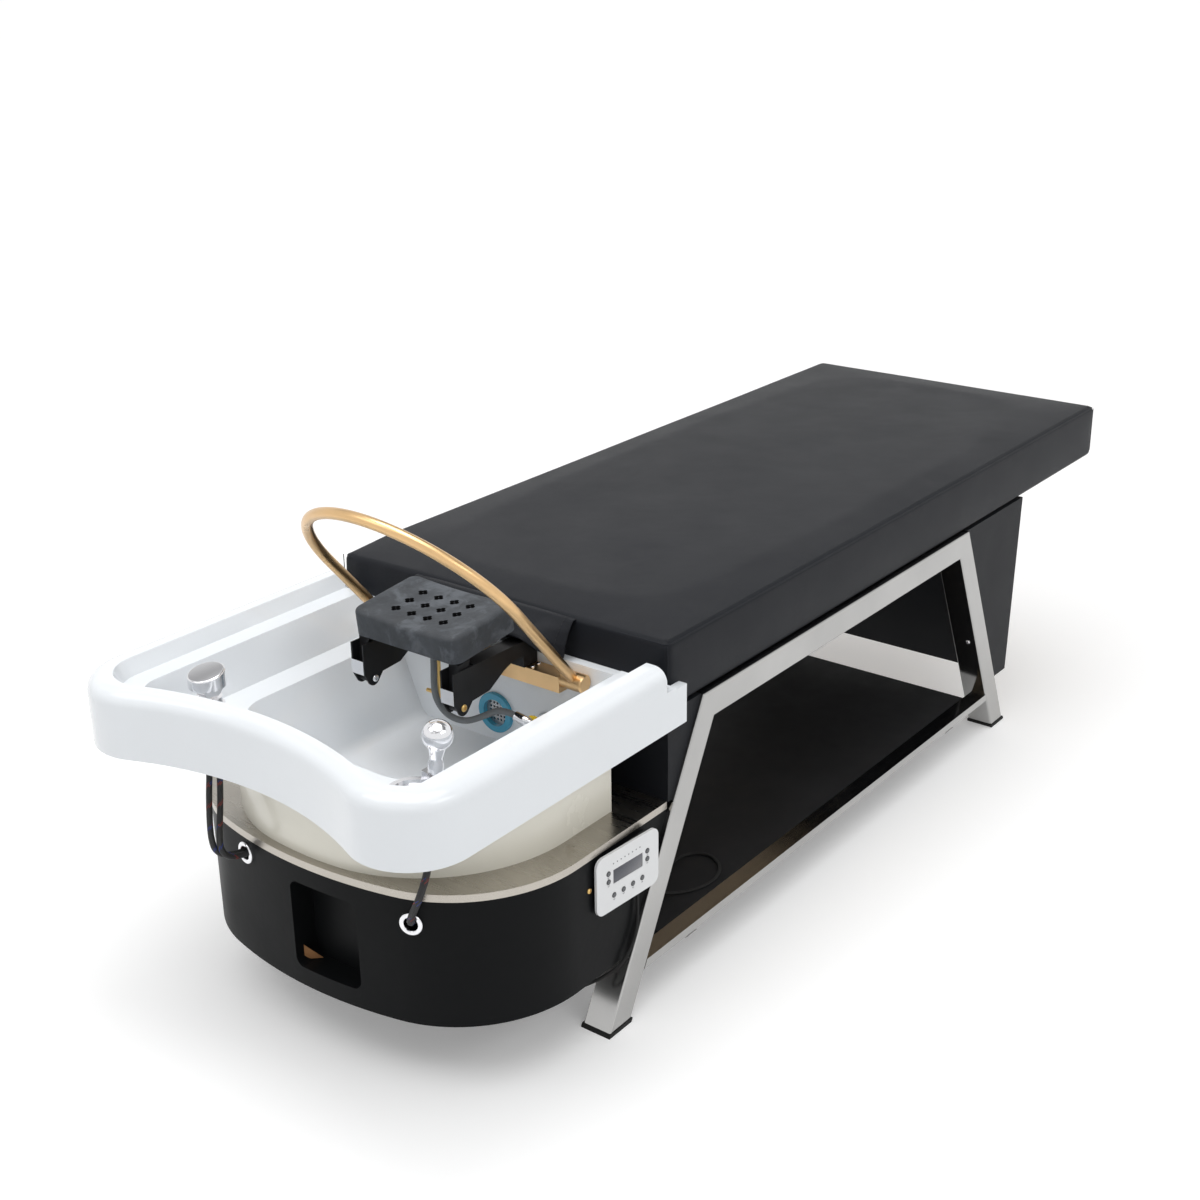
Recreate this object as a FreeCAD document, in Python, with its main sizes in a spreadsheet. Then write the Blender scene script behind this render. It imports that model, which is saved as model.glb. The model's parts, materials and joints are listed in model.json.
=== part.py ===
import FreeCAD, Part
import Sketcher
import math
import os
from FreeCAD import Placement, Rotation, Vector

# Hair washing bed: flat bed on a tube frame, moulded wash basin over a tank at the head end.
# X runs along the bed from the basin to the foot end, Y across it, Z up from the floor.
# Places along the bed are measured from the head face, the upright end of the bed at the basin.

SIZES = {
    # bed
    "bed_long": 1511.0, "bed_wide": 650.0, "bed_high": 573.0, "cushion_thick": 110.0,
    "cushion_draw": 4.0, "cushion_corner": 22.0, "cushion_crown_in": 120.0,
    "board_thick": 18.0, "board_inset": 12.0, "soft_gap": 0.4,
    # tube frame
    "frame_over": 6.0, "tube_wide": 50.0, "tube_deep": 45.0, "tube_wall": 1.5, "tube_corner": 3.0,
    "front_leg_top": 83.0, "front_leg_run": 238.0, "rear_leg_top": 942.6, "rear_leg_run": 212.9,
    "lower_rail_top": 86.0, "lower_rail_deep": 14.0, "lower_rail_wide": 30.0,
    "cross_wide": 30.0, "upper_cross_front": 160.0, "upper_cross_rear": 850.0,
    "lower_cross_front": 60.0, "lower_cross_rear": 930.0, "lower_cross_deep": 20.0,
    "cap_thick": 6.0, "cap_lip": 1.5, "cap_plug": 25.0, "plug_gap": 0.2,
    "shelf_thick": 13.0, "shelf_gap": 1.0, "shelf_front": 10.0, "shelf_rear": 1032.0,
    # panel boxes
    "panel_wall": 12.0, "panel_hole_gap": 1.0, "head_box_low": 320.0,
    "foot_box_top": 1182.0, "foot_box_foot": 1161.0, "foot_box_low": 107.5, "foot_box_recess": 22.0,
    "foot_box_floor": 40.0,
    # tank
    "tank_inset": 3.0, "tank_flat": 117.0, "tank_front": 104.0, "tank_front_radius": 700.0,
    "tank_low": 110.0, "tray_high": 320.0, "tray_deep": 11.5, "tank_wall": 3.0, "tray_wall": 1.5,
    "tank_leg_gap": 1.5, "base_thick": 4.0, "base_gap": 0.3, "tray_lip": 1.0,
    "recess_near": 105.0, "recess_far": 16.0, "recess_low": 140.0, "recess_high": 280.0,
    "recess_deep": 40.0, "recess_corner": 14.0,
    # grommets
    "grommet_wide": 34.0, "grommet_thick": 5.0, "grommet_bore": 20.0, "grommet_sleeve": 25.0,
    "grommet_sleeve_long": 9.0, "grommet_gap": 0.3, "grommet_edge": 2.5,
    "grommet_near": 131.0, "grommet_near_high": 272.0,
    "grommet_far": 210.0, "grommet_far_high": 285.0,
    # pump and heater
    "pump_front": 250.0, "pump_side": 90.0, "pump_wide": 96.0, "pump_long": 130.0,
    "pump_head_wide": 120.0, "pump_head_long": 30.0, "pump_foot_wide": 70.0, "pump_foot_thick": 8.0,
    "heater_front": 150.0, "heater_side": 120.0, "heater_wide": 80.0, "heater_long": 190.0,
    "heater_flange": 96.0, "heater_flange_thick": 6.0, "pipe_stub_wide": 20.0, "pipe_stub_long": 24.0,
    # basin: each level of the moulding has its inset from the outer sides and from the outer front
    "basin_reach": 534.0, "basin_over": 15.0, "basin_high": 545.0, "apron_low": 445.0,
    "basin_lobe": 90.0, "basin_waist": 51.0, "rim_round": 22.0, "apron_wall": 8.0, "deck_thick": 7.0,
    "rim_side": 36.0, "rim_front": 34.0, "rim_lobe": 60.0, "slope_side": 46.0, "slope_front": 42.0,
    "slope_lobe": 52.0, "ledge_high": 521.0, "ledge_side": 80.0, "ledge_front": 56.0, "ledge_lobe": 46.0,
    "deck_high": 460.0, "deck_side": 103.0, "deck_front": 68.0, "deck_lobe": 44.0, "inner_waist": 45.0,
    "hollow_side": 60.0, "hollow_front": 38.0, "hollow_lobe": 56.0, "hollow_high": 512.0,
    "bowl_side": 150.0, "bowl_front": 162.0, "bowl_corner": 70.0, "bowl_wall": 6.0,
    "bowl_low": 336.0, "bowl_low_side": 200.0, "bowl_low_front": 212.0, "bowl_low_corner": 56.0,
    "bowl_fold": 24.0, "bowl_rear": 18.0, "basin_rear": 0.5,
    "rear_rim_high": 508.0, "wing_high": 505.0, "wing_rear": 25.0, "wing_front": 23.0, "wing_gap": 0.5,
    # skirt
    "skirt_inset": 50.0, "skirt_front": 116.0, "skirt_front_radius": 560.0, "skirt_flat": 35.0,
    "skirt_rear": 70.0, "skirt_wall": 4.0,
    # strainer and waste
    "strainer_side": 15.0, "strainer_high": 385.0, "strainer_wide": 66.0, "strainer_bore": 44.0,
    "strainer_thick": 6.0, "strainer_edge": 2.0, "strainer_neck": 48.0, "strainer_neck_long": 16.0,
    "neck_gap": 0.4, "mesh_set": 2.0, "mesh_thick": 1.2, "mesh_hole": 4.0, "mesh_pitch": 6.6,
    "waste_wall": 3.0, "waste_long": 70.0, "spigot_wide": 38.0, "spigot_back": 24.0, "spigot_low": 322.0,
    # mixer
    "mixer_front": 114.0, "mixer_side": 178.0, "mixer_base_wide": 52.0, "mixer_base_thick": 4.0,
    "mixer_wide": 44.0, "mixer_body_high": 46.0, "mixer_gap": 0.3, "mixer_stud_wide": 30.0,
    "shank_low": 430.0, "nut_wide": 42.0, "nut_thick": 8.0, "cartridge_wide": 38.0, "cartridge_neck": 10.0,
    "mixer_barrel": 34.0, "barrel_long": 26.0, "lever_wide": 53.0, "lever_high": 28.0, "lever_drop": 14.0, "lever_edge": 3.0,
    "supply_wide": 9.0,
    # hand shower
    "ring_front": 149.0, "ring_side": 148.0, "ring_wide": 78.0, "ring_bore": 56.0, "ring_thick": 6.0,
    "ring_edge": 1.5, "ring_floor": 1.5, "saddle_front": 171.0, "saddle_side": 132.0,
    "saddle_wide": 30.0, "saddle_long": 22.0,
    "saddle_high": 30.0, "saddle_bore": 18.0, "saddle_stud_wide": 22.0, "shower_lean": 8.0,
    "shower_gap": 0.3, "neck_wide": 21.0, "neck_high": 41.0, "ball_wide": 42.0, "ball_high": 86.0,
    "coupling_wide": 17.0, "coupling_below": 12.0, "shower_hose_wide": 10.0, "hose_lead": 26.0,
    # arch
    "arch_back": 33.0, "arch_high": 487.5, "arch_half": 157.0, "arch_leg": 190.0, "arch_tilt": 49.6,
    "arch_tube_wide": 17.0, "arch_wall": 1.5, "hub_wide": 28.0, "hub_long": 38.0, "hub_inner": 19.0,
    "hub_edge": 2.0, "socket_floor": 4.0, "beam_high": 493.0, "beam_deep": 29.0, "beam_thick": 25.0,
    "beam_wall": 2.0, "pin_wide": 10.0, "pin_long": 9.0, "pin_gap": 0.2, "screw_wide": 7.0, "screw_head": 2.5,
    # headrest
    "pad_rear": 63.5, "pad_front": 198.5, "pad_wide": 202.0, "pad_rear_high": 603.0, "pad_front_high": 590.0,
    "pad_thick": 42.0, "pad_corner": 16.0, "pad_dip": 5.0, "pad_edge": 7.0, "pad_hole": 15.0,
    "pad_hole_deep": 20.0, "pad_hole_pitch_long": 29.0, "pad_hole_pitch_wide": 31.0,
    "plate_thick": 3.0, "plate_inset": 14.0, "arm_out": 101.2, "arm_wide": 25.4, "arm_wall": 2.5,
    "arm_front": 202.6, "arm_rear": 20.0, "arm_high": 538.0, "arm_chin": 490.0, "arm_foot": 30.0,
    "lobe_front": 184.0, "lobe_high": 480.0, "lobe_wide": 24.0, "lug_wide": 16.0, "lug_head": 24.0, "slot_long": 27.0,
    "post_wide": 19.0, "bolt_wide": 6.0, "bolt_head": 11.0,
    "clip_thick": 1.5, "clip_high": 22.0, "clip_wide": 24.0,
    "flap_thick": 2.2, "flap_half": 160.0, "flap_reach": 62.0,
    # head feed
    "feed_side": 223.0, "feed_high": 392.0, "feed_flange_wide": 30.0, "feed_flange_thick": 4.0,
    "feed_pipe_wide": 16.0, "feed_hose_wide": 10.0, "ferrule_wide": 14.0, "ferrule_along": 89.5,
    "stem_wide": 9.0, "stem_along": 44.5, "stem_side": 23.0, "stem_knob_wide": 6.0, "stem_knob_long": 24.0,
    "stem_long": 122.0,
    # control panel
    "panel_front": 178.0, "panel_rear": 44.0, "panel_low": 214.0, "panel_high": 306.0,
    "panel_yaw": 4.0, "panel_out": 14.5, "panel_face_thick": 4.0, "panel_house_inset": 7.0,
    "panel_corner": 14.0, "display_wide": 63.0, "display_high": 22.0, "display_up": 6.5,
    "display_thick": 1.4, "display_gap": 0.2, "button_wide": 8.0, "button_gap": 0.3, "button_proud": 0.8,
    "button_travel": 0.8, "button_column": 42.0, "button_row_high": 16.0, "button_row_low": 3.0,
    "button_row_foot": 23.0, "button_pitch": 20.4, "panel_cable_wide": 5.0, "shelf_cable_wide": 5.0,
    # how far a cut runs past the face it opens
    "overrun": 8.0,
}

DOC = FreeCAD.newDocument("HairWashingBed")
FLAT = Vector(0, 0, 1)


class Size:
    """A number together with the spreadsheet expression that gives it."""

    def __init__(self, value, text=None):
        self.value = float(value)
        self.text = text or f"({float(value)!r})"

    def __add__(self, other):
        other = as_size(other)
        return Size(self.value + other.value, f"({self.text} + {other.text})")

    def __sub__(self, other):
        other = as_size(other)
        return Size(self.value - other.value, f"({self.text} - {other.text})")

    def __mul__(self, other):
        other = as_size(other)
        return Size(self.value * other.value, f"({self.text} * {other.text})")

    def __truediv__(self, other):
        other = as_size(other)
        return Size(self.value / other.value, f"({self.text} / {other.text})")

    def __radd__(self, other):
        return as_size(other) + self

    def __rsub__(self, other):
        return as_size(other) - self

    def __rmul__(self, other):
        return as_size(other) * self

    def __neg__(self):
        return Size(-self.value, f"(0 - {self.text})")

    def __float__(self):
        return self.value


def as_size(value):
    return value if isinstance(value, Size) else Size(value)


def root_of(size):
    return Size(math.sqrt(size.value), f"sqrt({size.text})")


class SizeTable:
    """The spreadsheet's sizes as attributes."""

    def __init__(self, values):
        sheet = DOC.addObject("Spreadsheet::Sheet", "Sizes")
        for row, (name, value) in enumerate(values.items(), start=1):
            sheet.set(f"A{row}", name)
            sheet.set(f"B{row}", str(value))
            sheet.setAlias(f"B{row}", name)
            setattr(self, name, Size(value, f"Sizes.{name}"))
        DOC.recompute()


S = SizeTable(SIZES)
ZERO = Size(0)
HEAD = (S.basin_reach - S.bed_long) / 2
# The widths of the frame, the basin and the tank's half follow the bed's.
FRAME_WIDE = S.bed_wide + S.frame_over * 2
BASIN_WIDE = S.bed_wide + S.basin_over * 2
TANK_SIDE = S.bed_wide / 2 - S.tank_inset
# What stands on or under the basin is set in from its sides and its front.
MIXER_SIDE = BASIN_WIDE / 2 - S.mixer_side
MIXER_FRONT = S.basin_reach - S.mixer_front
RING_SIDE = BASIN_WIDE / 2 - S.ring_side
RING_FRONT = S.basin_reach - S.ring_front
SADDLE_SIDE = BASIN_WIDE / 2 - S.saddle_side
SADDLE_FRONT = S.basin_reach - S.saddle_front
ARCH_HALF = BASIN_WIDE / 2 - S.arch_half
FEED_SIDE = BASIN_WIDE / 2 - S.feed_side
TANK_FRONT = S.basin_reach - S.tank_front
SKIRT_FRONT = S.basin_reach - S.skirt_front
PANEL_OUT = S.bed_wide / 2 + S.panel_out


def from_head(distance):
    """X of a place this far from the head face towards the foot end."""
    return HEAD + distance


def bind(item, prop, size):
    item.setExpression(prop, as_size(size).text)


def place(item, across=ZERO, side=ZERO, up=ZERO):
    for axis, size in zip("xyz", (across, side, up)):
        if as_size(size).value:
            bind(item, f"Placement.Base.{axis}", size)
    return item


def body(label):
    item = DOC.addObject("PartDesign::Body", label)
    item.Label = label
    return item


def sketch_on(owner, role, offset=ZERO):
    """An empty sketch on one of the body's own planes, moved along the plane's normal."""
    plane = [item for item in owner.Origin.OriginFeatures if item.Role == role][0]
    sketch = owner.newObject("Sketcher::SketchObject", owner.Name + "_outline")
    sketch.AttachmentSupport = (plane, [""])
    sketch.MapMode = "FlatFace"
    if as_size(offset).value:
        bind(sketch, ".AttachmentOffset.Base.z", offset)
    return sketch


def outline(owner, role, corners, offset=ZERO):
    """A closed outline. A corner is (across, up), or (across, up, radius) where an arc of less than
    half a turn leads to the next corner: counter-clockwise, or clockwise for a negative radius."""
    sketch = sketch_on(owner, role, offset)
    ends = []
    for index, corner in enumerate(corners):
        start = Vector(float(corner[0]), float(corner[1]), 0)
        following = corners[(index + 1) % len(corners)]
        stop = Vector(float(following[0]), float(following[1]), 0)
        if len(corner) == 2:
            sketch.addGeometry(Part.LineSegment(start, stop))
            ends.append((1, 2))
            continue
        turn = math.copysign(1, float(corner[2]))
        radius = abs(float(corner[2]))
        chord = stop - start
        rise = math.sqrt(radius ** 2 - (chord.Length / 2) ** 2)
        middle = (start + stop) / 2 + FLAT.cross(chord).normalize() * rise * turn
        first, last = (start, stop) if turn > 0 else (stop, start)
        angles = [math.atan2(point.y - middle.y, point.x - middle.x) for point in (first, last)]
        sketch.addGeometry(Part.ArcOfCircle(Part.Circle(middle, FLAT, radius), *angles))
        ends.append((1, 2) if turn > 0 else (2, 1))
    for index, corner in enumerate(corners):
        following = (index + 1) % len(corners)
        sketch.addConstraint(
            Sketcher.Constraint("Coincident", index, ends[index][1], following, ends[following][0]))
        for kind, size in zip(("DistanceX", "DistanceY"), corner):
            number = sketch.addConstraint(
                Sketcher.Constraint(kind, -1, 1, index, ends[index][0], float(size)))
            sketch.setExpression(f"Constraints[{number}]", as_size(size).text)
        if len(corner) == 3:
            radius = corner[2] if float(corner[2]) > 0 else -corner[2]
            number = sketch.addConstraint(Sketcher.Constraint("Radius", index, float(radius)))
            sketch.setExpression(f"Constraints[{number}]", radius.text)
    return sketch


def circles(owner, role, places, wide, offset=ZERO):
    """Circles of one diameter about the given places."""
    sketch = sketch_on(owner, role, offset)
    for index, (across, up) in enumerate(places):
        middle = Vector(float(across), float(up), 0)
        sketch.addGeometry(Part.Circle(middle, FLAT, float(wide) / 2))
        for kind, size in (("DistanceX", across), ("DistanceY", up)):
            number = sketch.addConstraint(Sketcher.Constraint(kind, -1, 1, index, 3, float(size)))
            sketch.setExpression(f"Constraints[{number}]", as_size(size).text)
        number = sketch.addConstraint(Sketcher.Constraint("Diameter", index, float(wide)))
        sketch.setExpression(f"Constraints[{number}]", as_size(wide).text)
    return sketch


def feature(owner, kind, profile, length, midplane, reverse):
    item = owner.newObject(f"PartDesign::{kind}", f"{owner.Name}_{kind.lower()}")
    item.Profile = profile
    bind(item, "Length", length)
    item.Midplane = midplane
    item.Reversed = reverse
    profile.Visibility = False
    return item


def pad(owner, profile, length, midplane=True, reverse=False):
    return feature(owner, "Pad", profile, length, midplane, reverse)


def pocket(owner, profile, length, midplane=True, reverse=False):
    return feature(owner, "Pocket", profile, length, midplane, reverse)


def turned(owner, corners, kind="Revolution"):
    """A full turn of an outline, drawn in the upright plane, about the body's own Z axis."""
    profile = outline(owner, "XZ_Plane", corners)
    item = owner.newObject(f"PartDesign::{kind}", f"{owner.Name}_{kind.lower()}")
    item.Profile = profile
    item.ReferenceAxis = (profile, ["V_Axis"])
    item.Angle = 360
    return item


def straight_along(edge, axis):
    """Whether an edge is a straight line along an axis."""
    return isinstance(edge.Curve, Part.Line) and abs(edge.Curve.Direction.dot(axis)) > 0.999


def fillet(owner, radius, test, kind="Fillet"):
    """Rounds the edges of the body so far that pass the test."""
    DOC.recompute()
    base = owner.Tip
    names = [f"Edge{index}" for index, edge in enumerate(base.Shape.Edges, start=1) if test(edge)]
    if not names:
        raise ValueError(f"{owner.Label}: no edge to round")
    item = owner.newObject(f"PartDesign::{kind}", f"{owner.Name}_{kind.lower()}")
    item.Base = (base, names)
    bind(item, "Radius" if kind == "Fillet" else "Size", radius)
    return item


def group(label, members):
    """One node that holds several separate solids."""
    item = DOC.addObject("Part::Compound", label)
    item.Label = label
    item.Links = members
    return item


def cut(label, base, tool):
    item = DOC.addObject("Part::Cut", label)
    item.Label = label
    item.Base = base
    item.Tool = tool
    return item


def fuse(label, pieces):
    item = DOC.addObject("Part::MultiFuse", label)
    item.Label = label
    item.Shapes = pieces
    return item


def cylinder(label, wide, long, axis=FLAT):
    """A round bar from its own origin along an axis."""
    item = DOC.addObject("Part::Cylinder", label)
    item.Label = label
    bind(item, "Radius", wide / 2)
    bind(item, "Height", long)
    item.Placement = Placement(Vector(), Rotation(FLAT, axis))
    return item


def shape_node(label, shape):
    """A sub-part whose shape is made from curves and lofts."""
    item = DOC.addObject("Part::Feature", label)
    item.Label = label
    item.Shape = shape
    return item


# How much of a run's length each of its two arcs may take.
TRIM_SHARE = 0.45


def tube_path(points):
    """Straight runs joined by tangent arcs, each as large as its two runs allow."""
    points = [Vector(*(float(value) for value in point)) for point in points]
    edges = []
    radii = []
    start = points[0]
    for before, corner, after in zip(points, points[1:], points[2:]):
        back = (before - corner).normalize()
        ahead = (after - corner).normalize()
        half_turn = (math.pi - back.getAngle(ahead)) / 2
        trim = TRIM_SHARE * min((before - corner).Length, (after - corner).Length)
        radius = trim / math.tan(half_turn)
        radii.append(radius)
        middle = corner + (back + ahead).normalize() * (radius / math.cos(half_turn) - radius)
        edges.append(Part.LineSegment(start, corner + back * trim).toShape())
        edges.append(Part.Arc(corner + back * trim, middle, corner + ahead * trim).toShape())
        start = corner + ahead * trim
    edges.append(Part.LineSegment(start, points[-1]).toShape())
    return Part.Wire(edges), radii


def tube(name, points, wide):
    """A round cord along a route, with its tightest radius and its volume checked and printed."""
    path, radii = tube_path(points)
    first = path.Edges[0]
    ring = Part.Circle(first.Vertexes[0].Point, first.tangentAt(first.FirstParameter), float(wide) / 2)
    solid = path.makePipeShell([Part.Wire([ring.toShape()])], True, False)
    area = math.pi * float(wide) ** 2 / 4
    print(f"{name}: least radius {min(radii):.1f}, radii {[round(radius) for radius in radii]}, "
          f"volume share {solid.Volume / (area * path.Length):.4f}")
    return solid


# Frame

BOARD_LOW = S.bed_high - S.cushion_thick
TUBE_MIDDLE = (FRAME_WIDE - S.tube_wide) / 2
SIDES = {"near": -1, "far": 1}


class Leg:
    """The slanted line of a leg's outer edge and of the lines beside it."""

    def __init__(self, top, run):
        self.top = from_head(top)
        self.run = run
        self.across = S.tube_deep * root_of(run * run + BOARD_LOW * BOARD_LOW) / BOARD_LOW

    def line(self, up, shares=0):
        """X at a height, from the edge away from the bed's middle (0) to the edge beside it (1)."""
        return self.top + self.run * (BOARD_LOW - up) / BOARD_LOW + self.inward() * shares

    def inward(self):
        return -self.across if self.run.value > 0 else self.across


FRONT = Leg(S.front_leg_top, -S.front_leg_run)
REAR = Leg(S.rear_leg_top, S.rear_leg_run)
RAIL_LOW = BOARD_LOW - S.tube_deep


def hollow_tube(label, outer, inner, wide, wall, side):
    """A side-frame tube: the outline between its joints, with the bore run out of both ends."""
    item = body(label)
    pad(item, outline(item, "XZ_Plane", outer), wide)
    fillet(item, S.tube_corner, lambda edge: abs(edge.tangentAt(edge.FirstParameter).y) < 0.5
           and edge.Length > 3 * wide.value)
    pocket(item, outline(item, "XZ_Plane", inner), wide - wall * 2)
    return place(item, side=side)


def leg_tube(label, leg, side):
    share = S.tube_wall / S.tube_deep
    above = BOARD_LOW + S.overrun
    outer = [(leg.line(BOARD_LOW), BOARD_LOW), (leg.line(RAIL_LOW, 1), RAIL_LOW),
             (leg.line(S.cap_thick, 1), S.cap_thick), (leg.line(S.cap_thick), S.cap_thick)]
    inner = [(leg.line(above, share), above), (leg.line(above, 1 - share), above),
             (leg.line(ZERO, 1 - share), ZERO), (leg.line(ZERO, share), ZERO)]
    return hollow_tube(label, outer, inner, S.tube_wide, S.tube_wall, side)


def top_rail(label, side):
    outer = [(FRONT.line(BOARD_LOW), BOARD_LOW), (REAR.line(BOARD_LOW), BOARD_LOW),
             (REAR.line(RAIL_LOW, 1), RAIL_LOW), (FRONT.line(RAIL_LOW, 1), RAIL_LOW)]
    low = RAIL_LOW + S.tube_wall
    high = BOARD_LOW - S.tube_wall
    front = FRONT.top - S.overrun
    rear = REAR.top + S.overrun
    inner = [(front, low), (rear, low), (rear, high), (front, high)]
    return hollow_tube(label, outer, inner, S.tube_wide, S.tube_wall, side)


def lower_rail(label, side):
    high = S.lower_rail_top
    low = high - S.lower_rail_deep
    item = body(label)
    outer = [(FRONT.line(low, 1), low), (REAR.line(low, 1), low), (REAR.line(high, 1), high),
             (FRONT.line(high, 1), high)]
    pad(item, outline(item, "XZ_Plane", outer), S.lower_rail_wide)
    front = FRONT.line(low, 1) - S.overrun
    rear = REAR.line(low, 1) + S.overrun
    inner = [(front, low + S.tube_wall), (rear, low + S.tube_wall), (rear, high - S.tube_wall),
             (front, high - S.tube_wall)]
    pocket(item, outline(item, "XZ_Plane", inner), S.lower_rail_wide - S.tube_wall * 2)
    return place(item, side=side)


def cross_tube(label, front, low, deep, long):
    """A square tube across the bed, open at both ends."""
    item = body(label)
    high = low + deep
    rear = front + S.cross_wide
    pad(item, outline(item, "XZ_Plane", [(front, low), (rear, low), (rear, high), (front, high)]), long)
    wall = S.tube_wall
    inner = [(front + wall, low + wall), (rear - wall, low + wall), (rear - wall, high - wall),
             (front + wall, high - wall)]
    pocket(item, outline(item, "XZ_Plane", inner), long + S.overrun * 2)
    return item


def foot_cap(label, leg, side):
    """A rubber cap: a plate under the leg and a plug up inside its tube."""
    item = body(label)
    lip = S.cap_lip / S.tube_deep
    plate = [(leg.line(ZERO, -lip), ZERO), (leg.line(ZERO, 1 + lip), ZERO),
             (leg.line(S.cap_thick, 1 + lip), S.cap_thick), (leg.line(S.cap_thick, -lip), S.cap_thick)]
    pad(item, outline(item, "XZ_Plane", plate), S.tube_wide + S.cap_lip * 2)
    inset = (S.tube_wall + S.plug_gap) / S.tube_deep
    top = S.cap_thick + S.cap_plug
    plug = [(leg.line(S.cap_thick, inset), S.cap_thick), (leg.line(S.cap_thick, 1 - inset), S.cap_thick),
            (leg.line(top, 1 - inset), top), (leg.line(top, inset), top)]
    pad(item, outline(item, "XZ_Plane", plug), S.tube_wide - (S.tube_wall + S.plug_gap) * 2)
    return place(item, side=side)


def make_frame():
    nodes = []
    caps = []
    for name, sign in SIDES.items():
        side = TUBE_MIDDLE * sign
        strip = (FRAME_WIDE - S.lower_rail_wide) / 2 * sign
        nodes += [top_rail(f"top_rail_{name}", side), leg_tube(f"front_leg_{name}", FRONT, side),
                  leg_tube(f"rear_leg_{name}", REAR, side), lower_rail(f"lower_rail_{name}", strip)]
        caps += [foot_cap(f"front_cap_{name}", FRONT, side), foot_cap(f"rear_cap_{name}", REAR, side)]
    upper_long = FRAME_WIDE - S.tube_wide * 2
    lower_low = S.lower_rail_top - S.lower_rail_deep - S.lower_cross_deep
    lower_long = FRAME_WIDE - S.lower_rail_wide
    tubes = []
    for end, upper, lower in (("front", S.upper_cross_front, S.lower_cross_front),
                              ("rear", S.upper_cross_rear, S.lower_cross_rear)):
        tubes.append(cross_tube(f"upper_tube_{end}", from_head(upper), RAIL_LOW, S.tube_deep, upper_long))
        tubes.append(cross_tube(f"lower_tube_{end}", from_head(lower), lower_low, S.lower_cross_deep,
                                lower_long))
    nodes.append(group("cross_tubes", tubes))
    nodes.append(group("foot_caps", caps))
    return nodes


# Bed

def lower_shelf():
    """The black board between the lower rails, on the lower cross tubes."""
    item = body("lower_shelf")
    low = S.lower_rail_top - S.lower_rail_deep
    high = low + S.shelf_thick
    front = from_head(S.shelf_front)
    rear = from_head(S.shelf_rear)
    wide = FRAME_WIDE - (S.lower_rail_wide + S.shelf_gap) * 2
    pad(item, outline(item, "XZ_Plane", [(front, low), (rear, low), (rear, high), (front, high)]), wide)
    return item


def seat_board():
    item = body("seat_board")
    front = HEAD + S.board_inset
    rear = from_head(S.bed_long) - S.board_inset
    side = S.bed_wide / 2 - S.board_inset
    corners = [(front, -side), (rear, -side), (rear, side), (front, side)]
    pad(item, outline(item, "XY_Plane", corners, BOARD_LOW), S.board_thick, False)
    return item


def head_box():
    """An upholstered panel and its two cheeks, which hide the space in front of the front legs."""
    item = body("head_box")
    low = S.head_box_low
    outer = [(HEAD, low), (FRONT.line(low), low), (FRONT.line(BOARD_LOW), BOARD_LOW), (HEAD, BOARD_LOW)]
    pad(item, outline(item, "XZ_Plane", outer), S.bed_wide)
    front = HEAD + S.panel_wall
    rear = FRONT.line(BOARD_LOW) + S.overrun
    inner = [(front, low - S.overrun), (rear, low - S.overrun), (rear, BOARD_LOW + S.overrun),
             (front, BOARD_LOW + S.overrun)]
    pocket(item, outline(item, "XZ_Plane", inner), S.bed_wide - S.panel_wall * 2)
    middle = HEAD + S.panel_wall / 2
    through = S.panel_wall + S.overrun * 2
    waste = S.strainer_neck + (S.neck_gap + S.waste_wall + S.panel_hole_gap) * 2
    feed = S.feed_pipe_wide + S.panel_hole_gap * 2
    for side, up, wide in ((-S.strainer_side, S.strainer_high, waste), (-FEED_SIDE, S.feed_high, feed)):
        pocket(item, circles(item, "YZ_Plane", [(side, up)], wide, middle), through)
    return item


def foot_box():
    """A wedge of panels behind the rear legs: cheeks out to the legs, and a panel set back between them."""
    item = body("foot_box")
    low = S.foot_box_low
    wall = S.panel_wall
    outer = [(REAR.line(low), low), (from_head(S.foot_box_foot), low),
             (from_head(S.foot_box_top), BOARD_LOW), (REAR.line(BOARD_LOW), BOARD_LOW)]
    pad(item, outline(item, "XZ_Plane", outer), S.bed_wide)
    back = S.foot_box_recess / S.tube_deep
    behind = (S.foot_box_recess + wall) / S.tube_deep
    inside = S.bed_wide - wall * 2
    above = BOARD_LOW + S.overrun
    below = low - S.overrun
    recess = [(REAR.line(below, 1), below), (REAR.line(below, -back), below),
              (REAR.line(above, -back), above), (REAR.line(above, 1), above)]
    pocket(item, outline(item, "XZ_Plane", recess), inside)
    rear_low = from_head(S.foot_box_foot) - wall
    rear_high = from_head(S.foot_box_top) - wall
    floor = low + S.foot_box_floor
    hollow = [(REAR.line(floor, -behind), floor), (rear_low, floor), (rear_high, above),
              (REAR.line(above, -behind), above)]
    pocket(item, outline(item, "XZ_Plane", hollow), inside)
    return item


# Tank

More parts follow.
